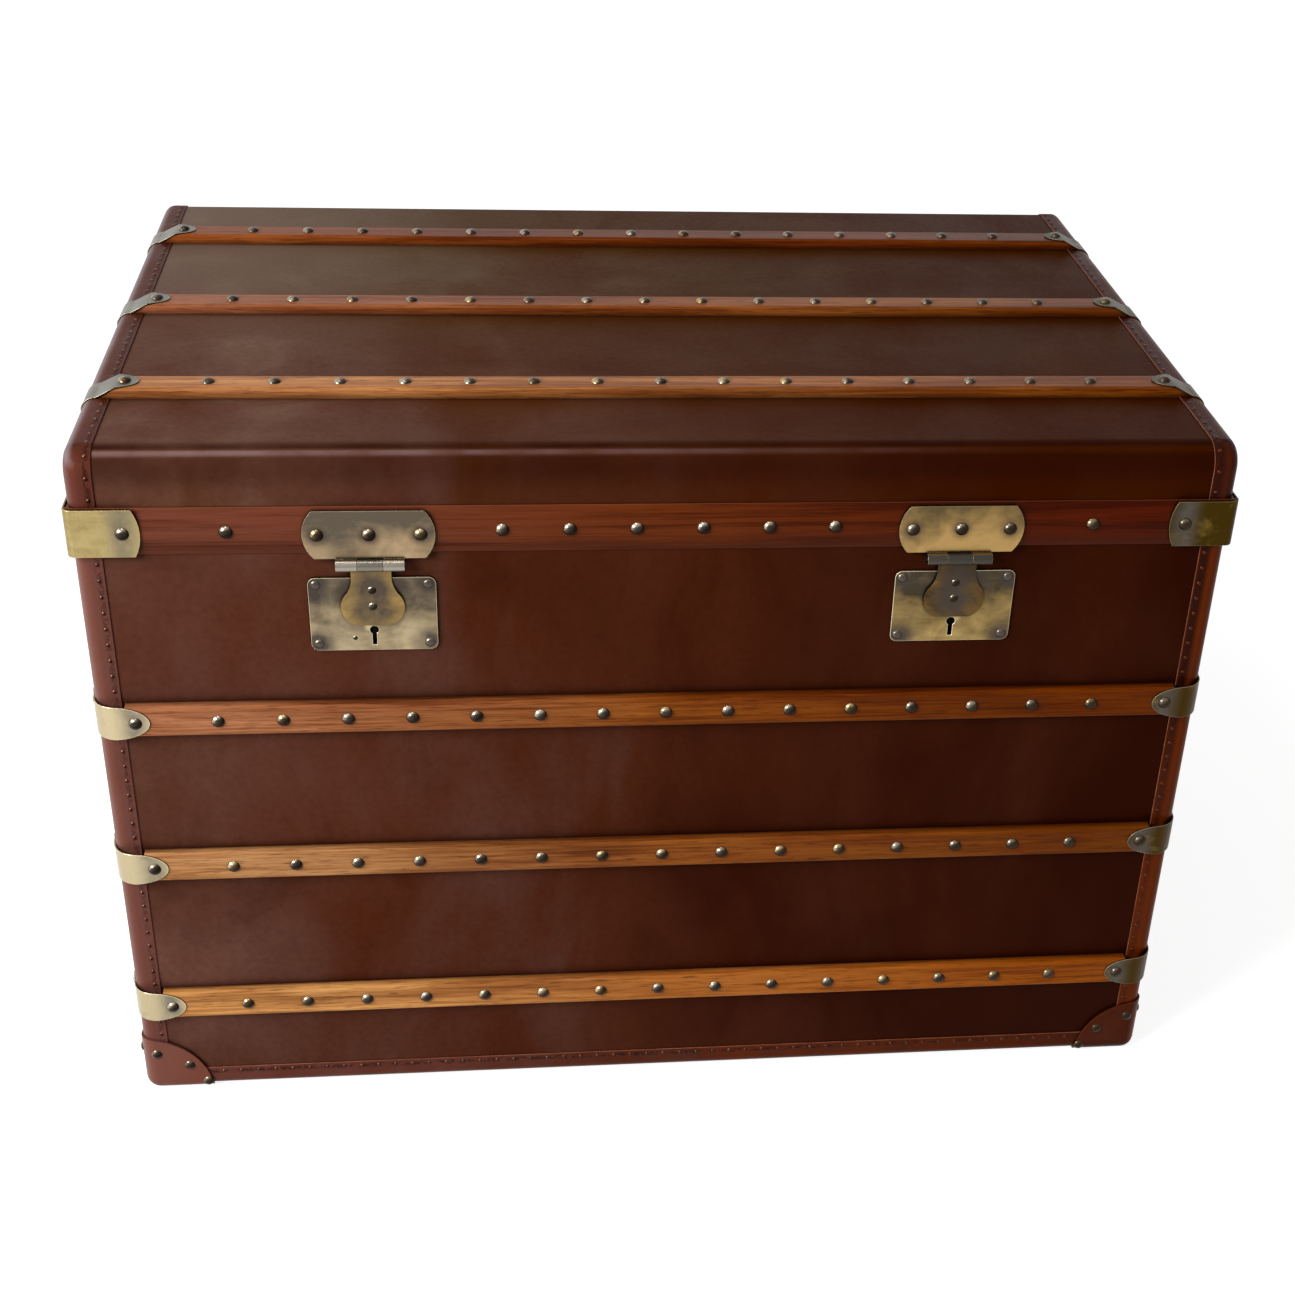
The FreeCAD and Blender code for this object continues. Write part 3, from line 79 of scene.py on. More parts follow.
FRONT_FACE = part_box("front_leather")[0].y
END_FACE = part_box("end_leathers")[1].x
BINDING_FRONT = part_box("corner_bindings")[0].y
BINDING_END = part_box("corner_bindings")[1].x
CAP_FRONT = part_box("base_corners")[0].y
CAP_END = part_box("base_corners")[1].x
BASE_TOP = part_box("base_binding")[1].z
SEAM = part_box("front_board")[1].z
RIM_LOW, RIM_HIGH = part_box("lid_rim")[0].z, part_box("lid_rim")[1].z
LID_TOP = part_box("lid_bindings")[1].z
LOCK = middle("lock_plate_right")
PLATE_LOW, PLATE_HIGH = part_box("lock_plate_right")
FLAP_FACE = PLATE_LOW.y - 2.6 * MM
HASP_LOW, HASP_HIGH = RIM_LOW - 2.9 * MM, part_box("hasp_plate_right")[1].z

# the bindings' bends and tacks

BINDING_WIDTH = 22 * MM
LID_BEND = 21 * MM
BEND_START = 15 * MM
TACK_INSET = 4.6 * MM
TACK_X = BINDING_END - BINDING_WIDTH + TACK_INSET
TACK_Y = -BINDING_FRONT - BINDING_WIDTH + TACK_INSET
TACK_Z = BASE_TOP - TACK_INSET
TACK_RADIUS, TACK_RISE = 1.7 * MM, 0.9 * MM
TACK_PITCH, BASE_PITCH, FRONT_PITCH = 14 * MM, 15.2 * MM, 16 * MM
TACK_CLEAR = 17 * MM
UPRIGHT_LOW, UPRIGHT_HIGH = 64 * MM, SEAM - 8 * MM
BASE_ROW_X, BASE_ROW_Y = 0.384, 0.236
BEND_TACK = math.radians(48)

# the small heads: corner nails are given in mm in from the corner and up from the floor

CORNER_NAILS = ((10.5, 43), (37.5, 29.5), (52, 10.5))
CORNER_NAIL_RADIUS, CORNER_NAIL_RISE = 4.6 * MM, 2 * MM
FLAP_RIVET_HEIGHTS = (0.5024, 0.4883)
FLAP_RIVET_RADIUS, FLAP_RIVET_RISE = 3.4 * MM, 1.3 * MM
LOCK_PIN_ASIDE, LOCK_PIN_HEIGHT = 15 * MM, 0.459
LOCK_PIN_RADIUS, LOCK_PIN_RISE = 1.9 * MM, 0.7 * MM
RIVET_INSET = 6 * MM

# where the lock sets are stained, chipped or jointed, and where painted shadow lies beside the flaps: points
# are from the middle of the nearer lock

LOCK_RIVETS = [(sx * (PLATE_HIGH.x - LOCK.x - RIVET_INSET), 0, z)
               for sx in (-1, 1) for z in (PLATE_LOW.z + RIVET_INSET, PLATE_HIGH.z - RIVET_INSET)]
# points of painted shadow on the plate beside the flap's waist
FLAP_WAIST_SHADOWS = [(sx * 19 * MM, 0, 0.503) for sx in (-1, 1)]
FLAP_RIVETS = [(0, 0, z) for z in FLAP_RIVET_HEIGHTS]
FLAP_JOINT = (0.5185, 0.5205)
HASP_NAILS = [(sx * 0.039, 0, (HASP_LOW + HASP_HIGH) / 2) for sx in (-1, 0, 1)]
HASP_JOINT = (HASP_LOW, HASP_LOW - 1 * MM)
KEYHOLE_CHIP = (0.0042, 0, 0.4685)

# how far the nails in the other brass are from the trunk's middle, along x and then y

CLIP_NAILS, CLAMP_NAILS, CAP_NAILS = (0.419, 0.271), (0.4115, 0.265), (0.419,)

# how far painted corner shade, stains and chips reach

SHADE_REACH, HEAD_SHADE_REACH = 7 * MM, 5 * MM
PANEL_SHADE_REACH, LINING_SHADE_REACH = 16 * MM, 50 * MM
NAIL_LINE_REACH, DULL_REACH, CHIP_REACH = 17 * MM, 14 * MM, 5 * MM

# how deep the finishes' bumps are

HIDE_DEPTH, PORE_DEPTH, PUCKER_DEPTH = 0.7 * MM, 0.2 * MM, 0.9 * MM
WOOD_DEPTH, RIM_DEPTH, WEAVE_DEPTH = 0.4 * MM, 0.3 * MM, 0.3 * MM
DENT_DEPTH, SCRATCH_DEPTH, PIT_DEPTH = 0.4 * MM, 0.04 * MM, 0.2 * MM

# gaps that count as none, when a mesh is merged and when the flat seat of a head is found

MERGE_GAP, SEAT_GAP = 0.001 * MM, 0.01 * MM

# angles, in degrees: what is flat, what is a corner, and what is shaded smooth

FLAT_ANGLE, CORNER_ANGLE = 0.4, 40
SMOOTH_ANGLE, HEAD_SMOOTH_ANGLE = 38, 60

# lights

FLOOR_HALF = 6
FLOOR_GLOW = (0.5, 2.0, 0.85, 0.9)
SOFT_LIGHT = 0.16


# camera

def camera():
    """The photograph's viewpoint."""
    pitch, yaw, roll = math.radians(-31.27), math.radians(-8.08), math.radians(-3.05)
    turn = Matrix.Rotation(yaw, 3, "Z") @ Matrix.Rotation(pitch, 3, "X") @ Matrix.Rotation(roll, 3, "Y")
    right, forward, up = turn.col[0], turn.col[1], turn.col[2]
    lens = bpy.data.cameras.new("photo_camera")
    lens.sensor_width = 36
    lens.lens = 55.63
    lens.shift_x, lens.shift_y = -0.0760, 0.0468
    seen = bpy.data.objects.new("photo_camera", lens)
    place = Matrix((right, up, -forward)).transposed().to_4x4()
    place.translation = (-0.1308, -1.6939, 1.2398)
    seen.matrix_world = place
    scene.collection.objects.link(seen)
    scene.camera = seen


# finishes

def tone(red, green, blue):
    """A colour as it looks on a screen, 0 to 255, as the shader's own values."""
    shares = [value / 255 for value in (red, green, blue)]
    return tuple(s / 12.92 if s <= 0.04045 else ((s + 0.055) / 1.055) ** 2.4 for s in shares) + (1,)


class Finish:
    """A procedural material, with short calls for its nodes."""

    def __init__(self, name, **uniform):
        self.material = bpy.data.materials.new(name)
        self.material.use_nodes = True
        self.tree = self.material.node_tree
        self.shader = self.tree.nodes["Principled BSDF"]
        for socket, value in uniform.items():
            self.shader.inputs[socket.replace("_", " ")].default_value = value
        self.place = self.node("ShaderNodeTexCoord").outputs["Object"]

    def node(self, kind, settings=(), **inputs):
        made = self.tree.nodes.new(kind)
        for name, value in dict(settings).items():
            setattr(made, name, value)
        for name, value in inputs.items():
            self.feed(made.inputs[name.replace("_", " ")], value)
        return made

    def feed(self, socket, value):
        if isinstance(value, bpy.types.NodeSocket):
            self.tree.links.new(value, socket)
        else:
            socket.default_value = value

    def math(self, operation, *values):
        made = self.node("ShaderNodeMath", {"operation": operation})
        for socket, value in zip(made.inputs, values):
            self.feed(socket, value)
        return made.outputs[0]

    def times(self, *values):
        product = values[0]
        for value in values[1:]:
            product = self.math("MULTIPLY", product, value)
        return product

    def plus(self, first, second):
        return self.math("ADD", first, second)

    def minus(self, first, second):
        return self.math("SUBTRACT", first, second)

    def both_sides(self, value):
        """The same on either side of the trunk's middle."""
        return self.math("ABSOLUTE", value)

    def away(self, value, line):
        """How far a place is from a line that runs on either side of the trunk's middle."""
        return self.math("ABSOLUTE", self.minus(self.both_sides(value), line))

    def parts(self, vector=None):
        split = self.node("ShaderNodeSeparateXYZ", Vector=vector or self.place)
        return split.outputs[0], split.outputs[1], split.outputs[2]

    def facing(self):
        """The three parts of the surface's own direction."""
        return self.parts(self.node("ShaderNodeTexCoord").outputs["Normal"])

    def joined(self, x, y, z):
        return self.node("ShaderNodeCombineXYZ", X=x, Y=y, Z=z).outputs[0]

    def stretched(self, x, y, z):
        return self.node("ShaderNodeMapping", Vector=self.place, Scale=(x, y, z)).outputs[0]

    def noise(self, scale, detail=3.0, rough=0.55, vector=None, bend=0.0):
        return self.node("ShaderNodeTexNoise", Vector=vector or self.place, Scale=scale, Detail=detail,
                         Roughness=rough, Distortion=bend).outputs["Fac"]

    def cells(self, scale):
        return self.node("ShaderNodeTexVoronoi", Vector=self.place, Scale=scale).outputs["Distance"]

    def between(self, value, low, high, to_low=0.0, to_high=1.0):
        made = self.node("ShaderNodeMapRange", {"interpolation_type": "SMOOTHSTEP"}, Value=value,
                         From_Min=low, From_Max=high, To_Min=to_low, To_Max=to_high)
        return made.outputs[0]

    def hump(self, value, start, full, fall, end):
        """0 up to the start, 1 from full to fall, and 0 past the end."""
        return self.times(self.between(value, start, full), self.between(value, fall, end, 1.0, 0.0))

    def across(self, first, second):
        """0 at the first place along the trunk's width and 1 at the second."""
        return self.between(self.parts()[0], first, second)

    def mix(self, share, first, second, way="MIX"):
        made = self.node("ShaderNodeMix", {"data_type": "RGBA", "blend_type": way})
        self.feed(made.inputs[0], share)
        self.feed(made.inputs[6], first)
        self.feed(made.inputs[7], second)
        return made.outputs[2]

    def ramp(self, share, *stops):
        made = self.node("ShaderNodeValToRGB", Fac=share)
        elements = made.color_ramp.elements
        while len(elements) < len(stops):
            elements.new(0.5)
        for element, (at, colour) in zip(elements, stops):
            element.position = at
            element.color = colour
        return made.outputs["Color"]

    def near(self, points, reach):
        """1 at any of the points, falling to 0 this far away.

        The points are from the middle of the nearer lock, so that both locks share one pattern.
        """
        x, _, z = self.parts()
        folded = self.joined(self.minus(self.both_sides(x), LOCK.x), 0.0, z)
        found = None
        for point in points:
            gap = self.node("ShaderNodeVectorMath", {"operation": "DISTANCE"})
            self.feed(gap.inputs[0], folded)
            gap.inputs[1].default_value = point
            share = self.between(gap.outputs["Value"], 0, reach, 1, 0)
            found = share if found is None else self.math("MAXIMUM", found, share)
        return found

    def corner_shaded(self, colour, reach, low, high, most, shade_colour):
        """The colour with painted shade in the corners, from ambient occlusion, within this reach."""
        open_air = self.node("ShaderNodeAmbientOcclusion", {"samples": 8}, Distance=reach).outputs["AO"]
        return self.mix(self.between(open_air, low, high, most, 0.0), colour, shade_colour)

    def worn(self):
        """1 on the eased edges of a dressed piece."""
        return self.node("ShaderNodeAttribute", {"attribute_name": "worn"}).outputs["Fac"]

    def bump(self, height, distance, strength=1.0, under=None):
        made = self.node("ShaderNodeBump", Height=height, Distance=distance, Strength=strength)
        if under is not None:
            self.feed(made.inputs["Normal"], under)
        return made.outputs[0]

    def done(self, colour, rough, normal=None):
        self.feed(self.shader.inputs["Base Color"], colour)
        self.feed(self.shader.inputs["Roughness"], rough)
        if normal is not None:
            self.feed(self.shader.inputs["Normal"], normal)
        return self.material


def hide_grain(f, pore=620):
    """Fine pores over slow unevenness, as a normal."""
    normal = f.bump(f.noise(22, 2), HIDE_DEPTH, 0.4)
    normal = f.bump(f.noise(pore / 6, 4), PORE_DEPTH, 0.3, normal)
    return f.bump(f.cells(pore), PORE_DEPTH, 0.3, normal)


def lid_wear_and_painted_light(f, colour):
    """Wear and painted light on the lid's leather.

    Along the bends it has painted dark reflections and a painted highlight, and at the back left a painted
    sheen. It is redder on the upright sides and more olive towards the back.
    """
    y, z = f.parts()[1:]
    outward = f.minus(f.both_sides(y), -BINDING_FRONT - LID_BEND)
    turn = f.math("ARCTAN2", f.minus(z, LID_TOP - LID_BEND), outward)
    # painted dark reflections above and below the bend's highlight
    upper = f.hump(turn, 1.02, 1.2, 1.22, 1.75)
    lower = f.hump(turn, -0.85, 0.45, 0.68, 0.92)
    dark_reflection = f.math("MAXIMUM", f.times(upper, 0.8), f.times(lower, 0.6))
    dark_reflection = f.times(dark_reflection, f.between(f.noise(11, 4), 0.3, 0.7, 0.7, 1.15))
    colour = f.mix(dark_reflection, colour, tone(40, 11, 4))
    # a painted highlight along the bend, strongest at the left
    rubbed_and_painted_light = f.times(f.hump(turn, 0.76, 0.94, 1.0, 1.1), f.between(f.noise(24, 3), 0.3, 0.65, 0.3, 0.85))
    colour = f.mix(f.times(rubbed_and_painted_light, f.across(0.35, -0.45)), colour, tone(126, 100, 98))
    # a painted sheen at the back left of the lid's top
    back_left_sheen = f.times(f.across(-0.05, -0.42), f.between(y, -0.16, 0.24, 0.0, 0.75))
    colour = f.mix(back_left_sheen, colour, tone(126, 104, 90))
    ruddy = f.times(f.between(turn, 0.3, 1.3, 0.9, 0.0), f.across(-0.4, 0.1))
    colour = f.mix(ruddy, colour, (1.0, 0.82, 1.05, 1), "MULTIPLY")
    aged = f.times(f.between(y, -0.26, 0.05), f.across(-0.45, 0.05))
    return f.mix(aged, colour, (1.05, 1.28, 0.8, 1), "MULTIPLY")


def panel_leather(name, pale, sheened, fair, warm, deep, gloss, on_lid=False):
    """Waxed hide, paler at the left with a painted sheen, mottled in broad strokes, and with painted shade
    where it meets other pieces.
    """
    f = Finish(name, Specular_IOR_Level=gloss, Specular_Tint=tone(236, 176, 140))
    strokes = f.noise(7, 4, 0.55, f.stretched(1.3, 1.3, 0.5), 0.5)
    mottle = f.plus(f.times(strokes, 0.9), f.times(f.noise(3.6, 3, 0.5), 0.6))
    # the two left-hand tones of the ramp are a painted sheen at the left
    share = f.plus(f.between(f.parts()[0], -0.56, 0.56, 0.2, 1.05), f.minus(mottle, 0.75))
    colour = f.ramp(share, (0.03, pale), (0.23, sheened), (0.53, fair), (0.98, deep))
    colour = f.mix(f.between(f.noise(5, 3, 0.5, f.stretched(1, 1, 0.6)), 0.5, 0.72, 0.0, 0.4), colour, warm)
    speckle = f.between(f.noise(190, 3), 0.3, 0.75)
    colour = f.mix(f.times(speckle, 0.2), colour, deep)
    rubs = f.noise(9, 4, 0.6, f.stretched(1.2, 1.2, 0.7), 0.5)
    colour = f.mix(f.between(rubs, 0.56, 0.75, 0.0, 0.35), colour, deep)
    if on_lid:
        colour = lid_wear_and_painted_light(f, colour)
    # painted shade where the leather meets other pieces
    colour = f.corner_shaded(colour, PANEL_SHADE_REACH, 0.35, 0.95, 0.85, tone(24, 7, 3))
    rough = f.between(f.plus(strokes, f.times(speckle, 0.3)), 0.3, 1.0, 0.3, 0.46)
    return f.done(colour, rough, hide_grain(f))


def bend_wear_and_painted_light(f, colour):
    """Wear and painted light on the bindings' bends and ends, and painted shade in their corners.

    The bends have a painted sheen at the left. At the right the case's bends are orange with painted light,
    and the lid's right end has painted shade.
    """
    x, y, z = f.parts()
    out = f.facing()[0]
    front = -BINDING_FRONT
    lid_edge = f.between(z, LID_TOP - BEND_START, LID_TOP - 7 * MM)
    case_edge = f.between(f.both_sides(y), front - BEND_START, front - 6 * MM)
    bend = f.times(f.math("MAXIMUM", case_edge, lid_edge),
                   f.between(f.both_sides(x), BINDING_END - BEND_START, BINDING_END - 8 * MM))
    # a painted sheen on the bends that face left
    colour = f.mix(f.times(bend, f.between(out, -0.3, -0.97, 0.0, 0.45)), colour, tone(142, 120, 116))
    # a painted sheen along the lid's top edge at the left
    lid_edge_sheen = f.times(lid_edge, f.hump(out, -0.12, -0.7, -0.75, -0.97), 0.6, f.across(-0.42, -0.44))
    colour = f.mix(lid_edge_sheen, colour, tone(156, 148, 154))
    on_case = f.between(z, SEAM - 4 * MM, SEAM + 4 * MM, 1.0, 0.0)
    on_lid = f.minus(1, on_case)
    # painted orange light on the case's bends that face right
    orange_and_lit = f.times(bend, on_case, f.between(out, 0.2, 0.75, 0.0, 0.6))
    colour = f.mix(orange_and_lit, colour, tone(146, 68, 20))
    # painted shade on the lid's bindings at the right
    colour = f.mix(f.times(on_lid, f.across(0.3, 0.44), 0.65), colour, tone(62, 21, 11))
    # painted shade in the bindings' corners
    colour = f.corner_shaded(colour, SHADE_REACH, 0.35, 0.9, 0.75, tone(28, 8, 5))
    colour = f.mix(f.times(on_lid, f.across(-0.34, -0.44), 0.35), colour, tone(72, 28, 16))
    return f.mix(f.times(on_case, f.across(-0.4, -0.44), 0.3), colour, tone(126, 84, 74))


def binding_leather(name, left, centre, right, tacked):
    """Polished strip leather, with cut edges that show paler to the right and below.

    Tacked strips are dark and puckered along their tacks, with painted shade in the puckers. The others are
    the bottom corners, trodden dark at the right.
    """
    f = Finish(name, Specular_IOR_Level=0.03, Specular_Tint=tone(245, 190, 160), Coat_Weight=0.04,
               Coat_Roughness=0.13)
    x, y, z = f.parts()
    clouds = f.noise(16, 4, 0.6)
    share = f.plus(f.across(-0.5, 0.5), f.times(f.minus(clouds, 0.5), 1.1))
    colour = f.ramp(share, (0.0, left), (0.5, centre), (1.0, right))
    colour = f.mix(f.between(z, LID_TOP - 12 * MM, LID_TOP, 0.0, 0.45), colour, tone(70, 28, 12))
    wrinkles = f.noise(150, 3, 0.6, bend=1.2)
    normal = f.bump(wrinkles, HIDE_DEPTH, 0.3, hide_grain(f, 700))
    if tacked:
        upright = f.math("MINIMUM", f.away(x, TACK_X), f.away(y, TACK_Y))
        nearest = f.math("MINIMUM", upright, f.away(z, TACK_Z))
        grimy = f.times(f.between(x, -0.4, 0.45, 0.3, 0.9), f.between(z, 0.14, 0.44, 0.2, 1.0))
        along_tacks = f.times(f.between(upright, 1.5 * MM, 8 * MM, 1.0, 0.0), grimy)
        colour = f.mix(along_tacks, colour, tone(40, 9, 4))
        foot = f.times(f.between(z, BASE_TOP - 2 * MM, BASE_TOP + 4 * MM, 0.6, 0.0), f.across(0.05, 0.4))
        colour = f.mix(foot, colour, tone(50, 17, 6))
        pinched = f.times(f.between(nearest, 0.5 * MM, 3.6 * MM, 1.0, 0.0), f.between(wrinkles, 0.42, 0.58))
        # painted shade in the puckers' creases
        colour = f.mix(f.times(pinched, f.between(x, 0.2, 0.44, 0.7, 0.3)), colour, tone(30, 9, 6))
        normal = f.bump(pinched, PUCKER_DEPTH, 0.5, normal)
    else:
        trodden = f.times(f.between(z, 3 * MM, 18 * MM, 0.65, 0.0), f.across(0.2, 0.44))
        colour = f.mix(trodden, colour, tone(34, 11, 5))
    colour = bend_wear_and_painted_light(f, colour)
    bare = f.math("MAXIMUM", f.between(z, BASE_TOP, BASE_TOP + 6 * MM, 1.0, 0.0), f.across(-0.2, 0.4))
    edges = f.times(f.worn(), bare, f.between(f.noise(60, 3), 0.3, 0.7, 0.45, 1.0))
    colour = f.mix(edges, colour, tone(150, 94, 70))
    return f.done(colour, f.between(clouds, 0.3, 0.7, 0.28, 0.42), normal)


def grip_leather():
    """Hand-worn leather, paler and smoother in the middle of the grip."""
    f = Finish("grip_leather", Specular_IOR_Level=0.35)
    handled = f.between(f.both_sides(f.parts()[1]), 10 * MM, 60 * MM, 1.0, 0.0)
    colour = f.ramp(f.noise(45, 4), (0.3, tone(60, 26, 16)), (0.7, tone(104, 54, 36)))
    colour = f.mix(f.times(handled, 0.35), colour, tone(134, 80, 54))
    return f.done(colour, f.between(handled, 0, 1, 0.5, 0.34), hide_grain(f, 800))


def varnished(name):
    """The start of a varnished finish."""
    return Finish(name, Specular_IOR_Level=0.07, Specular_Tint=tone(240, 190, 140), Coat_Weight=0.025,
                  Coat_Roughness=0.16)


def slat_wood(name, along, left, centre, right):
    """Varnished wood with its grain along one axis.

    It has a broad figure, reddish bands, streaks, fibres and dark pores.
    """
    f = varnished(name)

    def grain(with_it, against_it):
        return f.stretched(*[with_it if axis == along else against_it for axis in "xyz"])

    figure = f.noise(1.0, 6, 0.66, grain(2.2, 74), 1.1)
    fibre = f.noise(1.0, 4, 0.7, grain(12, 520))
    pores = f.noise(1.0, 2, 0.5, grain(50, 980))
    bands = f.noise(1.0, 3, 0.5, grain(3.4, 26), 0.4)
    streaks = f.noise(1.0, 4, 0.62, grain(11, 270), 0.9)
    colour = f.ramp(f.across(-0.5, 0.5), (0.06, left), (0.5, centre), (0.94, right))
    colour = f.mix(f.between(bands, 0.42, 0.66, 0.0, 0.7), colour, f.mix(0.62, colour, tone(116, 42, 14)))
    share = f.plus(f.times(figure, 0.58), f.times(fibre, 0.42))
    share = f.plus(share, f.between(f.noise(2.3, 2), 0.3, 0.7, -0.1, 0.12))
    shade = f.ramp(share, (0.34, (0.36, 0.25, 0.17, 1)), (0.46, (0.68, 0.58, 0.48, 1)),
                   (0.54, (0.86, 0.82, 0.76, 1)), (0.66, (1, 1, 1, 1)))
    colour = f.mix(1.0, colour, shade, "MULTIPLY")
    colour = f.mix(f.between(streaks, 0.5, 0.62, 0.0, 0.6), colour, (0.56, 0.42, 0.32, 1), "MULTIPLY")
    colour = f.mix(f.between(streaks, 0.3, 0.46, 0.6, 0.0), colour, (1.36, 1.36, 1.32, 1), "MULTIPLY")
    colour = f.mix(f.between(pores, 0.58, 0.7, 0.0, 0.6), colour, tone(66, 26, 8))
    # painted shade in the corners round the slats
    colour = f.corner_shaded(colour, SHADE_REACH, 0.4, 0.95, 0.85, tone(36, 12, 4))
    colour = f.mix(f.times(f.worn(), 0.35), colour, tone(190, 136, 90))
    normal = f.bump(f.plus(fibre, pores), WOOD_DEPTH, 0.35)
    return f.done(colour, f.between(fibre, 0.3, 0.8, 0.28, 0.44), normal)


def rim_wood():
    """The lid's stained rim, with its grain along each side, orange in places and with painted shade along
    its foot.
    """
    f = varnished("rim_wood")
    x, y, z = f.parts()
    long_side = f.math("GREATER_THAN", f.both_sides(y), -FRONT_FACE - 6 * MM)
    run = f.plus(f.times(x, long_side), f.times(y, f.minus(1, long_side)))
    figure = f.noise(1.0, 5, 0.62, f.joined(f.times(run, 2.4), 0.0, f.times(z, 75)), 0.7)
    fibre = f.noise(1.0, 4, 0.7, f.joined(f.times(run, 14), 0.0, f.times(z, 620)))
    share = f.plus(f.times(figure, 0.65), f.times(fibre, 0.35))
    colour = f.ramp(f.across(-0.5, 0.5), (0.05, tone(106, 56, 40)), (0.5, tone(108, 48, 18)),
                    (0.95, tone(92, 26, 3)))
    shade = f.ramp(share, (0.42, (0.46, 0.36, 0.32, 1)), (0.5, (0.86, 0.8, 0.75, 1)),
                   (0.58, (1.08, 1.08, 1.06, 1)))
    orange_and_lit = f.times(f.between(f.noise(3.2, 3), 0.42, 0.64, 0.0, 0.75), f.across(-0.2, 0.15))
    colour = f.mix(orange_and_lit, colour, tone(136, 62, 12))
    colour = f.mix(1.0, colour, shade, "MULTIPLY")
    # painted shade along the rim's lower part
    colour = f.mix(f.between(z, RIM_LOW + 2 * MM, RIM_LOW + 17 * MM, 0.5, 0.0), colour, tone(62, 22, 10))
    # painted shade in the corners round the rim
    colour = f.corner_shaded(colour, SHADE_REACH, 0.4, 0.95, 0.85, tone(30, 9, 4))
    colour = f.mix(f.times(f.worn(), 0.3), colour, tone(150, 84, 54))
    return f.done(colour, f.between(fibre, 0.3, 0.8, 0.28, 0.42), f.bump(fibre, RIM_DEPTH, 0.3))


def bare_wood():
    """The boards under the leather, which show at the open seam and in the lock channels."""
    f = Finish("board_wood", Specular_IOR_Level=0.25)
    figure = f.noise(1.0, 4, 0.6, f.stretched(3, 3, 70), 0.6)
    colour = f.ramp(figure, (0.3, tone(140, 100, 60)), (0.7, tone(196, 158, 108)))
    return f.done(colour, 0.62, f.bump(figure, WOOD_DEPTH, 0.3))


def lining_cloth():
    """Plain-woven cotton with slight ageing, and painted shade in its corners."""
    f = Finish("lining", Specular_IOR_Level=0.15)
    x, y, z = f.parts()
    weave = 1700.0
    warp = f.math("SINE", f.times(f.plus(x, y), weave))
    weft = f.math("SINE", f.times(f.plus(z, f.minus(x, y)), weave))
    threads = f.times(warp, weft)
    colour = f.ramp(f.noise(6, 4), (0.3, tone(178, 156, 118)), (0.7, tone(206, 188, 152)))
    colour = f.mix(f.between(threads, -1, 1, 0.18, 0.0), colour, tone(120, 98, 66))
    # painted shade in the lining's corners
    colour = f.corner_shaded(colour, LINING_SHADE_REACH, 0.2, 0.9, 0.45, tone(96, 76, 50))
    return f.done(colour, 0.85, f.bump(threads, WEAVE_DEPTH, 0.5))


def aged_brass(name, bright, mid, dark, spots=(), reach=None, gradient=None, lean=0.0, joint=None,
               silvery=None, edge=(228, 214, 178), chips=(), lines=()):
    """Brass with patina and painted shade in its corners, patina round its nails and in cloudy patches,
    painted shadow beside the lock flaps, and eased edges worn bright that are also painted highlights.

    It is creamy at the left and golden at the right, lighter at one side by a lean that is painted light,
    greyer near the spots and lines, lighter or darker between the gradient's heights, silvery past the joint
    with painted shade there towards the right, and bright at the chips.
    """
    f = Finish(name, Metallic=1.0)
    x, y, z = f.parts()
    smears = f.noise(1.0, 4, 0.6, f.stretched(34, 34, 90), 0.4)
    share = f.plus(f.times(f.noise(30, 4, 0.6, bend=0.5), 0.65), f.times(smears, 0.35))
    if gradient is not None:
        share = f.plus(share, f.between(z, *gradient))
    # the lean is painted light and shade across the trunk, lighter at the left when positive
    if lean:
        share = f.plus(share, f.between(x, -0.45, 0.45, lean, -lean))
    colour = f.ramp(share, (0.3, dark), (0.5, mid), (0.7, bright))
    hue = f.ramp(f.across(-0.45, 0.45), (0.15, (1.0, 1.02, 1.12, 1)), (0.85, (1.08, 0.97, 0.66, 1)))
    colour = f.mix(1.0, colour, hue, "MULTIPLY")
    uneven = f.between(f.noise(70, 3), 0.25, 0.7, 0.55, 1.1)
    if spots:
        # patina round the rivets and nails, and painted shadow at the points beside the flap's waist
        patina_and_shadow = f.math("MINIMUM", f.times(f.near(spots, reach), uneven, 1.3), 0.95)
        colour = f.mix(patina_and_shadow, colour, tone(66, 58, 52))
    for place, line in zip((x, y), lines):
        beside = f.between(f.away(place, line), 0, NAIL_LINE_REACH, 0.75, 0.0)
        colour = f.mix(f.times(beside, uneven), colour, tone(86, 82, 76))
    if joint is not None:
        # silvery at the left, darkened towards the right by painted shade
        silvery_with_shade = f.mix(f.across(-0.3, 0.3), silvery, tone(62, 58, 52))
        colour = f.mix(f.between(z, *joint), colour, silvery_with_shade)
    # painted shade, with patina, in the brass's corners
    colour = f.corner_shaded(colour, SHADE_REACH, 0.45, 0.95, 0.92, tone(42, 33, 22))
    if chips:
        colour = f.mix(f.times(f.near(chips, CHIP_REACH), uneven, 0.45), colour, tone(214, 198, 150))
    # edges worn bright that are also a painted highlight, fading to the right with a lean; the flaps' dark
    # edge colour is painted shade
    rubbed_and_painted_light = f.times(f.worn(), f.across(0.62, 0.05)) if lean else f.worn()
    colour = f.mix(f.times(rubbed_and_painted_light, 0.8), colour, tone(*edge))
    scratches = f.noise(1.0, 3, 0.6, f.stretched(900, 900, 60))
    rough = f.plus(f.between(share, 0.3, 0.7, 0.44, 0.28), f.between(scratches, 0.3, 0.7, -0.05, 0.05))
    normal = f.bump(f.noise(60, 3), DENT_DEPTH, 0.2)
    return f.done(colour, rough, f.bump(scratches, SCRATCH_DEPTH, 0.15, normal))


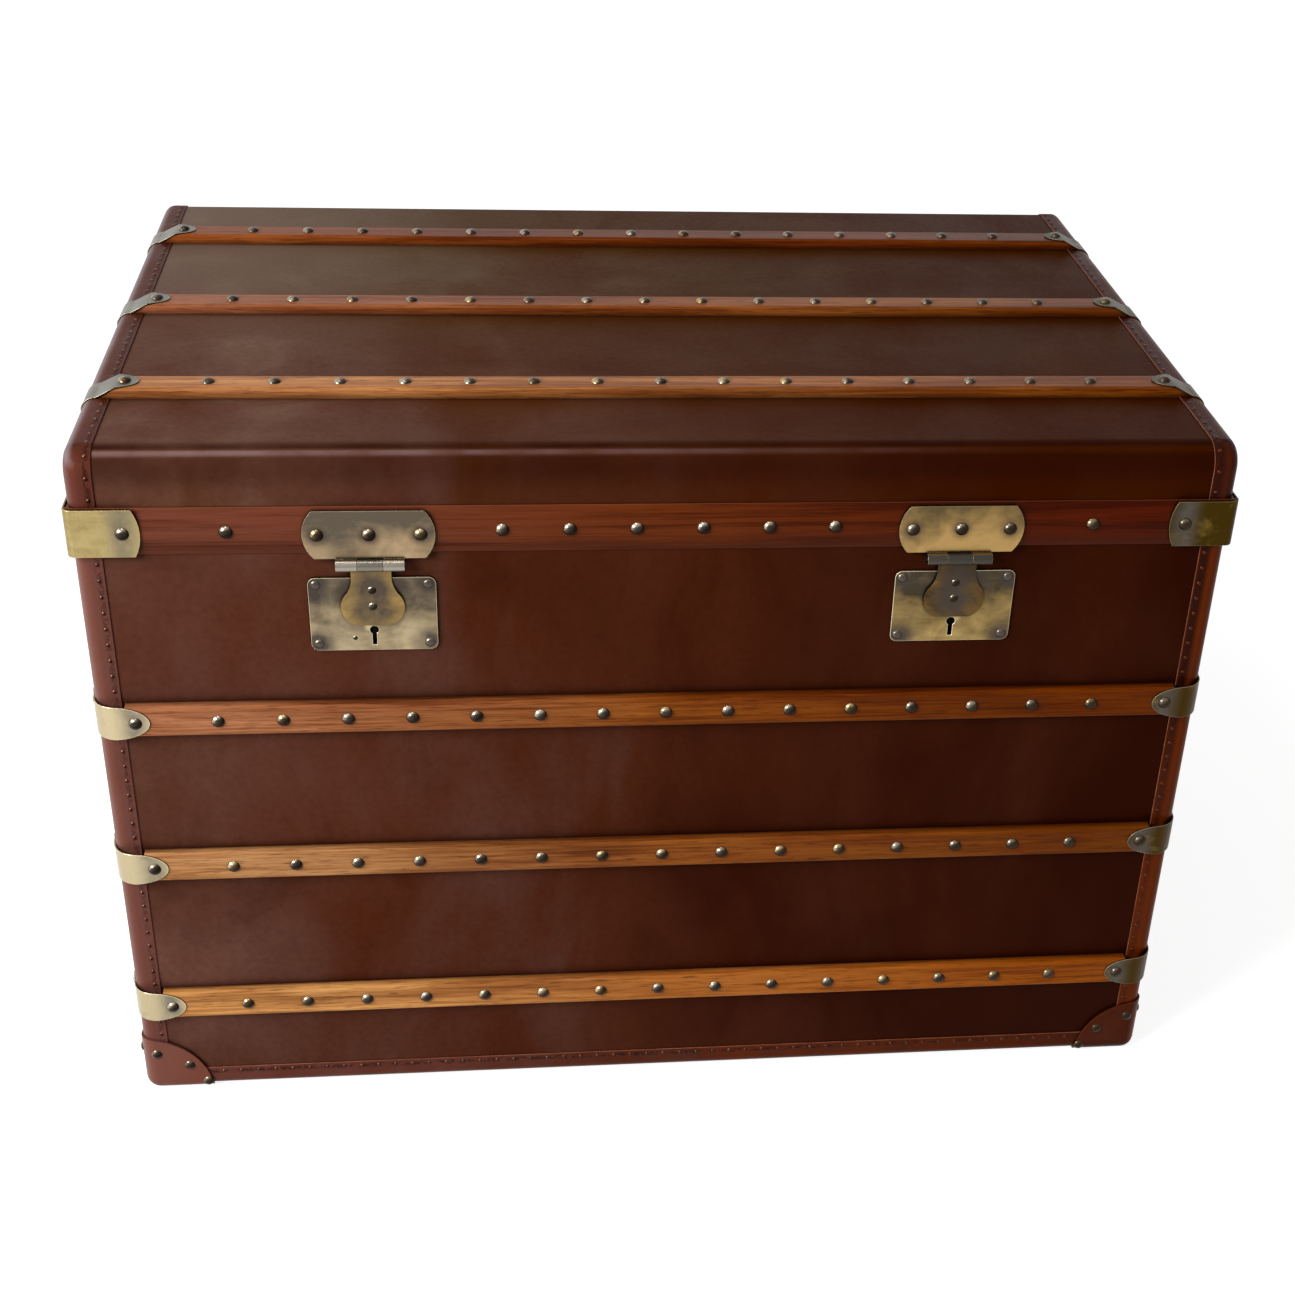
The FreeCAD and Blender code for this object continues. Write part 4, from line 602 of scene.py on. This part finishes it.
def nail_brass(name, dark, mid, bright, right, dull=()):
    """Antique heads with painted shade below and at the foot of each, and a painted highlight on the upper
    left.

    Some are more golden, those to the right are browner, and those at the dull points are grey.
    """
    f = Finish(name, Metallic=1.0)
    facing = f.facing()
    # on_lid, rise and side paint light by the way each head faces: a painted highlight on the upper left and
    # painted shade below
    on_lid = f.math("GREATER_THAN", f.parts()[2], LID_TOP + 3 * MM)
    rise = f.plus(f.times(facing[2], f.minus(1, f.times(on_lid, 0.8))), f.times(on_lid, 0.2))
    grain = f.noise(420, 3)
    clouds = f.between(f.noise(55, 3), 0.3, 0.7, -0.16, 0.16)
    side = f.minus(f.times(rise, 0.8), f.times(facing[0], 0.55))
    share = f.between(f.plus(side, clouds), -0.6, 0.95)
    colour = f.ramp(share, (0.18, dark), (0.6, mid), (0.97, bright))
    colour = f.mix(f.between(f.noise(14, 2), 0.5, 0.62, 0.0, 0.8), colour, (1.3, 1.1, 0.72, 1), "MULTIPLY")
    colour = f.mix(f.times(f.across(0.0, 0.5), 0.8), colour, right)
    if dull:
        colour = f.mix(f.times(f.near(dull, DULL_REACH), 0.75), colour, tone(82, 74, 68))
    # painted shade at the foot of each head
    colour = f.corner_shaded(colour, HEAD_SHADE_REACH, 0.45, 0.98, 0.92, tone(20, 15, 12))
    return f.done(colour, f.between(grain, 0.3, 0.7, 0.2, 0.32), f.bump(grain, PIT_DEPTH, 0.3))


def plain_steel():
    """Bolts, hinge pins and hasp pins."""
    f = Finish("steel", Metallic=1.0)
    brushed = f.noise(1.0, 3, 0.6, f.stretched(60, 900, 900))
    colour = f.ramp(brushed, (0.3, tone(92, 92, 92)), (0.7, tone(150, 148, 144)))
    return f.done(colour, f.between(brushed, 0.3, 0.7, 0.36, 0.5))


def blackened_iron():
    """The lock works behind the plates, black with old oil."""
    f = Finish("blackened_iron", Specular_IOR_Level=0.12)
    scale = f.noise(260, 4)
    colour = f.ramp(scale, (0.3, tone(9, 8, 7)), (0.75, tone(30, 26, 22)))
    return f.done(colour, f.between(scale, 0.3, 0.7, 0.5, 0.7), f.bump(scale, PIT_DEPTH, 0.4))


# shapes

def piece(name, bm, body, finish, slot, stands_for=None, smooth=SMOOTH_ANGLE):
    """Puts a finished mesh in the scene, on its body."""
    mesh = bpy.data.meshes.new(name)
    for face in bm.faces:
        face.smooth = True
    bm.to_mesh(mesh)
    bm.free()
    mesh.set_sharp_from_angle(angle=math.radians(smooth))
    mesh.materials.append(finish)
    made = bpy.data.objects.new(name, mesh)
    scene.collection.objects.link(made)
    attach(made, body)
    if stands_for:
        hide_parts(stands_for)
    return made


def merged_copy(node):
    """A node's mesh with its faces joined along their edges."""
    bm = bmesh.new()
    bm.from_mesh(frame["nodes"][node].data)
    bmesh.ops.remove_doubles(bm, verts=bm.verts, dist=MERGE_GAP)
    return bm


def dressed(node, finish, ease):
    """A copy of a node with its corners eased by a small bevel, which stands for the node."""
    bm = merged_copy(node)
    bmesh.ops.dissolve_limit(bm, angle_limit=math.radians(FLAT_ANGLE), verts=bm.verts, edges=bm.edges)
    worn = bm.faces.layers.float.new("worn")
    if ease:
        edges = [e for e in bm.edges if e.is_manifold and e.calc_face_angle() > math.radians(CORNER_ANGLE)]
        eased = bmesh.ops.bevel(bm, geom=edges, offset=ease, offset_type="OFFSET", segments=2, profile=0.5,
                                affect="EDGES", clamp_overlap=True, material=-1)
        for face in eased["faces"]:
            face[worn] = 1.0
    made = piece(f"{node}_dressed", bm, frame["nodes"][node]["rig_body"], finish, SLOTS[node], node)
    made.modifiers.new("flat_faces", "WEIGHTED_NORMAL").keep_sharp = True


def dome(sides, rings):
    """A low head of radius and rise 1 on its own z axis."""
    bm = bmesh.new()
    bmesh.ops.create_uvsphere(bm, u_segments=sides, v_segments=2 * rings, radius=1)
    bmesh.ops.bisect_plane(bm, geom=bm.verts[:] + bm.edges[:] + bm.faces[:], dist=1e-6, plane_co=(0, 0, 0),
                           plane_no=(0, 0, 1), clear_inner=True)
    mesh = bpy.data.meshes.new("dome")
    bm.to_mesh(mesh)
    bm.free()
    return mesh


def set_heads(name, body, finish, places, shape, stands_for=None):
    """One piece of many heads, each at a point, facing out, with its radius and rise."""
    bm = bmesh.new()
    for point, out, radius, rise in places:
        before = len(bm.verts)
        bm.from_mesh(shape)
        bm.verts.ensure_lookup_table()
        turn = Vector((0, 0, 1)).rotation_difference(out).to_matrix().to_4x4()
        stand = Matrix.Translation(point) @ turn @ Matrix.Diagonal((radius, radius, rise, 1))
        bmesh.ops.transform(bm, matrix=stand, verts=bm.verts[before:])
    piece(name, bm, body, finish, "nail_brass", stands_for, HEAD_SMOOTH_ANGLE)


def islands(bm):
    """The mesh's faces, in groups that hang together."""
    seen = set()
    for start in bm.faces:
        if start.index in seen:
            continue
        island, queue = [], [start]
        seen.add(start.index)
        while queue:
            face = queue.pop()
            island.append(face)
            for edge in face.edges:
                for other in edge.link_faces:
                    if other.index not in seen:
                        seen.add(other.index)
                        queue.append(other)
        yield island


def head_places(node):
    """Where a node's separate heads sit: the middle of each flat seat, its way out, its radius and rise."""
    bm = merged_copy(node)
    places = []
    for island in islands(bm):
        areas = {}
        for face in island:
            way = tuple(round(value, 2) + 0.0 for value in face.normal)
            areas[way] = areas.get(way, 0) + face.calc_area()
        out = -Vector(max(areas, key=areas.get)).normalized()
        points = {vert.co.copy().freeze() for face in island for vert in face.verts}
        levels = [point.dot(out) for point in points]
        seat = [point for point in points if point.dot(out) < min(levels) + SEAT_GAP]
        point = sum(seat, Vector()) / len(seat)
        radius = max((corner - point).length for corner in seat)
        places.append((point, out, radius, max(levels) - min(levels)))
    bm.free()
    return places


def row(start, end, pitch):
    """Even places from one point to another, near this pitch."""
    start, end = Vector(start), Vector(end)
    count = max(1, round((end - start).length / pitch))
    return [start.lerp(end, step / count) for step in range(count + 1)]


def tacks(points, out):
    """Tacks at these points, all facing one way."""
    return [(point, Vector(out), TACK_RADIUS, TACK_RISE) for point in points]


def case_tacks():
    """Small tacks along the inner edges of the case's bindings, clear of the clips and corners."""
    levels = [middle(node).z for node in SLAT_ROWS]
    front, found = -BINDING_FRONT, []
    for sx in (-1, 1):
        for sy in (-1, 1):
            lines = ((sx * TACK_X, sy * front, (0, sy, 0)), (sx * BINDING_END, sy * TACK_Y, (sx, 0, 0)))
            for x, y, out in lines:
                climb = row((x, y, UPRIGHT_LOW), (x, y, UPRIGHT_HIGH), TACK_PITCH)
                free = [p for p in climb if all(abs(p.z - level) > TACK_CLEAR for level in levels)]
                found += tacks(free, out)
    for sy in (-1, 1):
        ends = [(x, sy * front, TACK_Z) for x in (-BASE_ROW_X, BASE_ROW_X)]
        found += tacks(row(*ends, BASE_PITCH), (0, sy, 0))
    for sx in (-1, 1):
        ends = [(sx * BINDING_END, y, TACK_Z) for y in (-BASE_ROW_Y, BASE_ROW_Y)]
        found += tacks(row(*ends, BASE_PITCH), (sx, 0, 0))
    return found


def lid_tacks():
    """Small tacks up the front and back of the lid's bindings, round their bends and over the top."""
    slats = [middle(node).y for node in LID_SLAT_ROWS]
    front, bend, found = -BINDING_FRONT, LID_TOP - LID_BEND, []
    inner = front - LID_BEND
    for sx in (-1, 1):
        x = sx * TACK_X
        for sy in (-1, 1):
            climb = row((x, sy * front, RIM_HIGH + 6 * MM), (x, sy * front, bend), FRONT_PITCH)
            found += tacks(climb, (0, sy, 0))
            out = Vector((0, sy * math.cos(BEND_TACK), math.sin(BEND_TACK)))
            found += tacks([Vector((x, sy * inner, bend)) + out * LID_BEND], out)
        over = row((x, -inner, LID_TOP), (x, inner, LID_TOP), TACK_PITCH)
        free = [p for p in over if all(abs(p.y - slat) > TACK_CLEAR for slat in slats)]
        found += tacks(free, (0, 0, 1))
    return found


def corner_nails():
    """Three dome nails on each outer face of the leather bottom corners."""
    places = []
    for along, height in CORNER_NAILS:
        for sx in (-1, 1):
            for sy in (-1, 1):
                at_x = sx * (END_FACE - along * MM)
                at_y = sy * (-FRONT_FACE - along * MM)
                for x, y, out in ((at_x, sy * -CAP_FRONT, (0, sy, 0)), (sx * CAP_END, at_y, (sx, 0, 0))):
                    place = Vector((x, y, height * MM))
                    places.append((place, Vector(out), CORNER_NAIL_RADIUS, CORNER_NAIL_RISE))
    return places


# building

camera()

# the first two tones of each panel are its painted sheen at the left
PANEL = panel_leather("panel_leather", tone(112, 74, 61), tone(94, 58, 46), tone(78, 35, 18),
                      tone(84, 36, 14), tone(48, 11, 1), 0.04)
LID_PANEL = panel_leather("lid_panel_leather", tone(118, 88, 71), tone(96, 63, 50), tone(78, 41, 21),
                          tone(86, 43, 14), tone(64, 23, 0), 0.014, True)
BINDING = binding_leather("binding_leather", tone(104, 56, 45), tone(88, 38, 20), tone(120, 46, 0), True)
CORNER = binding_leather("corner_leather", tone(122, 70, 56), tone(100, 48, 30), tone(82, 28, 0), False)
GRIP = grip_leather()
UPPER_SLAT = slat_wood("upper_slat_wood", "x", tone(188, 126, 88), tone(164, 92, 26), tone(130, 58, 0))
MIDDLE_SLAT = slat_wood("middle_slat_wood", "x", tone(202, 148, 98), tone(170, 100, 40), tone(130, 66, 8))
LOWER_SLAT = slat_wood("lower_slat_wood", "x", tone(246, 184, 114), tone(198, 121, 54), tone(180, 94, 16))
LID_FRONT_SLAT = slat_wood("lid_front_slat_wood", "x", tone(206, 143, 88), tone(222, 152, 90),
                           tone(186, 106, 28))
LID_MIDDLE_SLAT = slat_wood("lid_middle_slat_wood", "x", tone(164, 101, 68), tone(198, 122, 62),
                            tone(158, 90, 26))
LID_REAR_SLAT = slat_wood("lid_rear_slat_wood", "x", tone(160, 88, 40), tone(148, 76, 22), tone(134, 64, 10))
END_SLAT = slat_wood("end_slat_wood", "y", tone(196, 130, 80), tone(176, 104, 50), tone(158, 84, 32))
RIM = rim_wood()
BOARD = bare_wood()
LINING = lining_cloth()
NAIL = nail_brass("nail_brass", tone(28, 21, 17), tone(66, 57, 49), tone(180, 167, 145), tone(48, 37, 25),
                  LOCK_RIVETS)
DARK_NAIL = nail_brass("dark_nail_brass", tone(22, 16, 12), tone(54, 46, 38), tone(124, 114, 98),
                       tone(44, 34, 23))
TACK = nail_brass("tack_brass", tone(36, 15, 9), tone(66, 37, 26), tone(102, 70, 56), tone(78, 34, 12))
STEEL = plain_steel()
IRON = blackened_iron()
# the flap-waist spots on the lock plates are painted shadow
LOCK_BRASS = aged_brass("lock_plate_brass", tone(156, 138, 104), tone(120, 104, 78), tone(60, 54, 46),
                        spots=LOCK_RIVETS + FLAP_WAIST_SHADOWS, reach=20 * MM,
                        gradient=(PLATE_LOW.z, PLATE_HIGH.z, 0.08, -0.15), lean=0.07, chips=[KEYHOLE_CHIP])
HASP_BRASS = aged_brass("hasp_plate_brass", tone(158, 133, 98), tone(129, 109, 80), tone(86, 76, 61),
                        spots=HASP_NAILS, reach=12 * MM, gradient=(HASP_LOW, HASP_HIGH, 0.14, -0.2),
                        lean=-0.1, joint=HASP_JOINT, silvery=tone(140, 133, 122))
# the flaps' dark edge colour is painted shade on their sides
FLAP_BRASS = aged_brass("flap_brass", tone(148, 120, 66), tone(106, 84, 52), tone(56, 45, 34),
                        spots=FLAP_RIVETS, reach=28 * MM, lean=0.2, joint=FLAP_JOINT,
                        silvery=tone(112, 106, 97), edge=(104, 84, 52))
CLIP_BRASS = aged_brass("clip_brass", tone(166, 150, 114), tone(120, 107, 74), tone(56, 41, 5), lean=0.27,
                        lines=CLIP_NAILS)
CLAMP_BRASS = aged_brass("clamp_brass", tone(152, 133, 86), tone(118, 100, 56), tone(56, 43, 10), lean=0.2,
                         lines=CLAMP_NAILS, edge=(190, 172, 124))
CAP_BRASS = aged_brass("cap_brass", tone(126, 122, 104), tone(98, 94, 78), tone(62, 55, 40), lean=0.16,
                       lines=CAP_NAILS, edge=(150, 142, 118))
FITTING_BRASS = aged_brass("fitting_brass", tone(186, 166, 120), tone(152, 134, 96), tone(96, 84, 64))

# nodes that keep their own mesh

PLAIN = {
    BOARD: ["bottom_board", "front_board", "back_board", "left_board", "right_board", "lid_top_board",
            "lid_front_board", "lid_back_board", "lid_left_board", "lid_right_board"],
    LINING: ["case_lining", "lid_lining"],
    PANEL: ["front_leather", "back_leather", "end_leathers", "bottom_leather", "lid_end_leathers"],
    STEEL: ["lock_bolt_left", "lock_bolt_right", "hinge_pins", "hasp_pins"],
    IRON: ["lock_case_left", "lock_case_right"],
}
for finish, nodes in PLAIN.items():
    for node in nodes:
        mesh = frame["nodes"][node].data
        mesh.materials.clear()
        mesh.materials.append(finish)

# nodes with eased corners: the node, its finish, and how far its corners are eased in mm

DRESSED = [
    ("corner_bindings", BINDING, 0.5), ("base_binding", BINDING, 0.5), ("lid_bindings", BINDING, 0.5),
    ("base_corners", CORNER, 0.6), ("lid_leather", LID_PANEL, 0), ("lid_rim", RIM, 0.5),
    ("front_slat_upper", UPPER_SLAT, 0.4), ("front_slat_middle", MIDDLE_SLAT, 0.4),
    ("front_slat_lower", LOWER_SLAT, 0.4), ("back_slats", MIDDLE_SLAT, 0.4),
    ("lid_slat_front", LID_FRONT_SLAT, 0.4), ("lid_slat_middle", LID_MIDDLE_SLAT, 0.4),
    ("lid_slat_rear", LID_REAR_SLAT, 0.4), ("left_slats", END_SLAT, 0.4), ("right_slats", END_SLAT, 0.4),
    ("slat_clips", CLIP_BRASS, 0.35), ("rim_clamps", CLAMP_BRASS, 0.35), ("lid_slat_caps", CAP_BRASS, 0.35),
]
for side in ("left", "right"):
    DRESSED += [
        (f"lock_plate_{side}", LOCK_BRASS, 0.9), (f"hasp_plate_{side}", HASP_BRASS, 0.8),
        (f"hasp_{side}", FLAP_BRASS, 0.9), (f"hinge_leaf_{side}", FITTING_BRASS, 0.5),
        (f"lid_hinge_leaf_{side}", FITTING_BRASS, 0.5), (f"handle_bail_{side}", FITTING_BRASS, 0),
        (f"handle_grip_{side}", GRIP, 0.6),
    ]
DRESSED.append(("handle_saddles", FITTING_BRASS, 0.5))
for node, finish, ease in DRESSED:
    dressed(node, finish, ease * MM)

nail_shape = dome(16, 3)
tack_shape = dome(8, 2)
set_heads("case_nail_heads", "case", NAIL, head_places("case_nails"), nail_shape, "case_nails")
set_heads("lid_nail_heads", "lid", NAIL, head_places("lid_nails"), nail_shape, "lid_nails")
set_heads("corner_nail_heads", "case", DARK_NAIL, corner_nails(), nail_shape)
set_heads("case_tacks", "case", TACK, case_tacks(), tack_shape)
set_heads("lid_tacks", "lid", TACK, lid_tacks(), tack_shape)
ahead = Vector((0, -1, 0))
for side, sign in (("left", -1), ("right", 1)):
    rivets = [(Vector((sign * LOCK.x, FLAP_FACE, height)), ahead, FLAP_RIVET_RADIUS, FLAP_RIVET_RISE)
              for height in FLAP_RIVET_HEIGHTS]
    set_heads(f"flap_rivets_{side}", f"hasp_{side}", NAIL, rivets, nail_shape)
pin = Vector((-LOCK.x - LOCK_PIN_ASIDE, PLATE_LOW.y, LOCK_PIN_HEIGHT)), ahead, LOCK_PIN_RADIUS, LOCK_PIN_RISE
set_heads("lock_pin", "case", NAIL, [pin], tack_shape)


# floor and light

def seen_white(tree):
    """1 for the rays that show the background: the camera's, and those in gloss and glass."""
    path = tree.nodes.new("ShaderNodeLightPath")
    found = path.outputs["Is Camera Ray"]
    for ray in ("Is Glossy Ray", "Is Transmission Ray"):
        either = tree.nodes.new("ShaderNodeMath")
        either.operation = "MAXIMUM"
        tree.links.new(found, either.inputs[0])
        tree.links.new(path.outputs[ray], either.inputs[1])
        found = either.outputs[0]
    return found


def level(tree, dim, full):
    """A strength that is full for the background's rays, and dim for the rest."""
    made = tree.nodes.new("ShaderNodeMapRange")
    tree.links.new(seen_white(tree), made.inputs["Value"])
    made.inputs["To Min"].default_value = dim
    if isinstance(full, bpy.types.NodeSocket):
        tree.links.new(full, made.inputs["To Max"])
    else:
        made.inputs["To Max"].default_value = full
    return made.outputs[0]


def floor():
    """A pale floor that is nearly as white as the background and keeps the trunk's shadow."""
    bm = bmesh.new()
    bmesh.ops.create_grid(bm, x_segments=1, y_segments=1, size=FLOOR_HALF)
    mesh = bpy.data.meshes.new("floor")
    bm.to_mesh(mesh)
    bm.free()
    f = Finish("pale_floor", Base_Color=(0.8, 0.8, 0.8, 1), Roughness=0.9, Specular_IOR_Level=0.0,
               Emission_Color=(1, 1, 1, 1))
    away = f.node("ShaderNodeVectorMath", {"operation": "LENGTH"}, Vector=f.place).outputs["Value"]
    f.feed(f.shader.inputs["Emission Strength"], level(f.tree, 0.0, f.between(away, *FLOOR_GLOW)))
    mesh.materials.append(f.material)
    ground = bpy.data.objects.new("floor", mesh)
    scene.collection.objects.link(ground)


def lamp(name, place, aim, size, power, colour=(1, 1, 1)):
    """A soft panel of light."""
    data = bpy.data.lights.new(name, "AREA")
    data.shape = "RECTANGLE"
    data.size, data.size_y = size
    data.energy = power
    data.color = colour
    made = bpy.data.objects.new(name, data)
    way = Vector(aim) - Vector(place)
    made.matrix_world = Matrix.Translation(place) @ way.to_track_quat("-Z", "Y").to_matrix().to_4x4()
    scene.collection.objects.link(made)


def studio():
    """A white background that gives little light itself, a window at the left and a strip above the lid."""
    world = bpy.data.worlds.new("studio")
    scene.world = world
    world.use_nodes = True
    tree = world.node_tree
    soft = tree.nodes["Background"]
    soft.inputs["Color"].default_value = (1, 1, 1, 1)
    tree.links.new(level(tree, SOFT_LIGHT, 1.0), soft.inputs["Strength"])
    lamp("window_left", (-1.55, -1.25, 1.4), (-0.1, -0.25, 0.4), (1.1, 1.0), 46, (0.97, 0.985, 1.0))
    lamp("strip_above", (-0.45, -0.38, 2.0), (-0.4, -0.36, 0.6), (1.0, 0.12), 4.5)


floor()
studio()
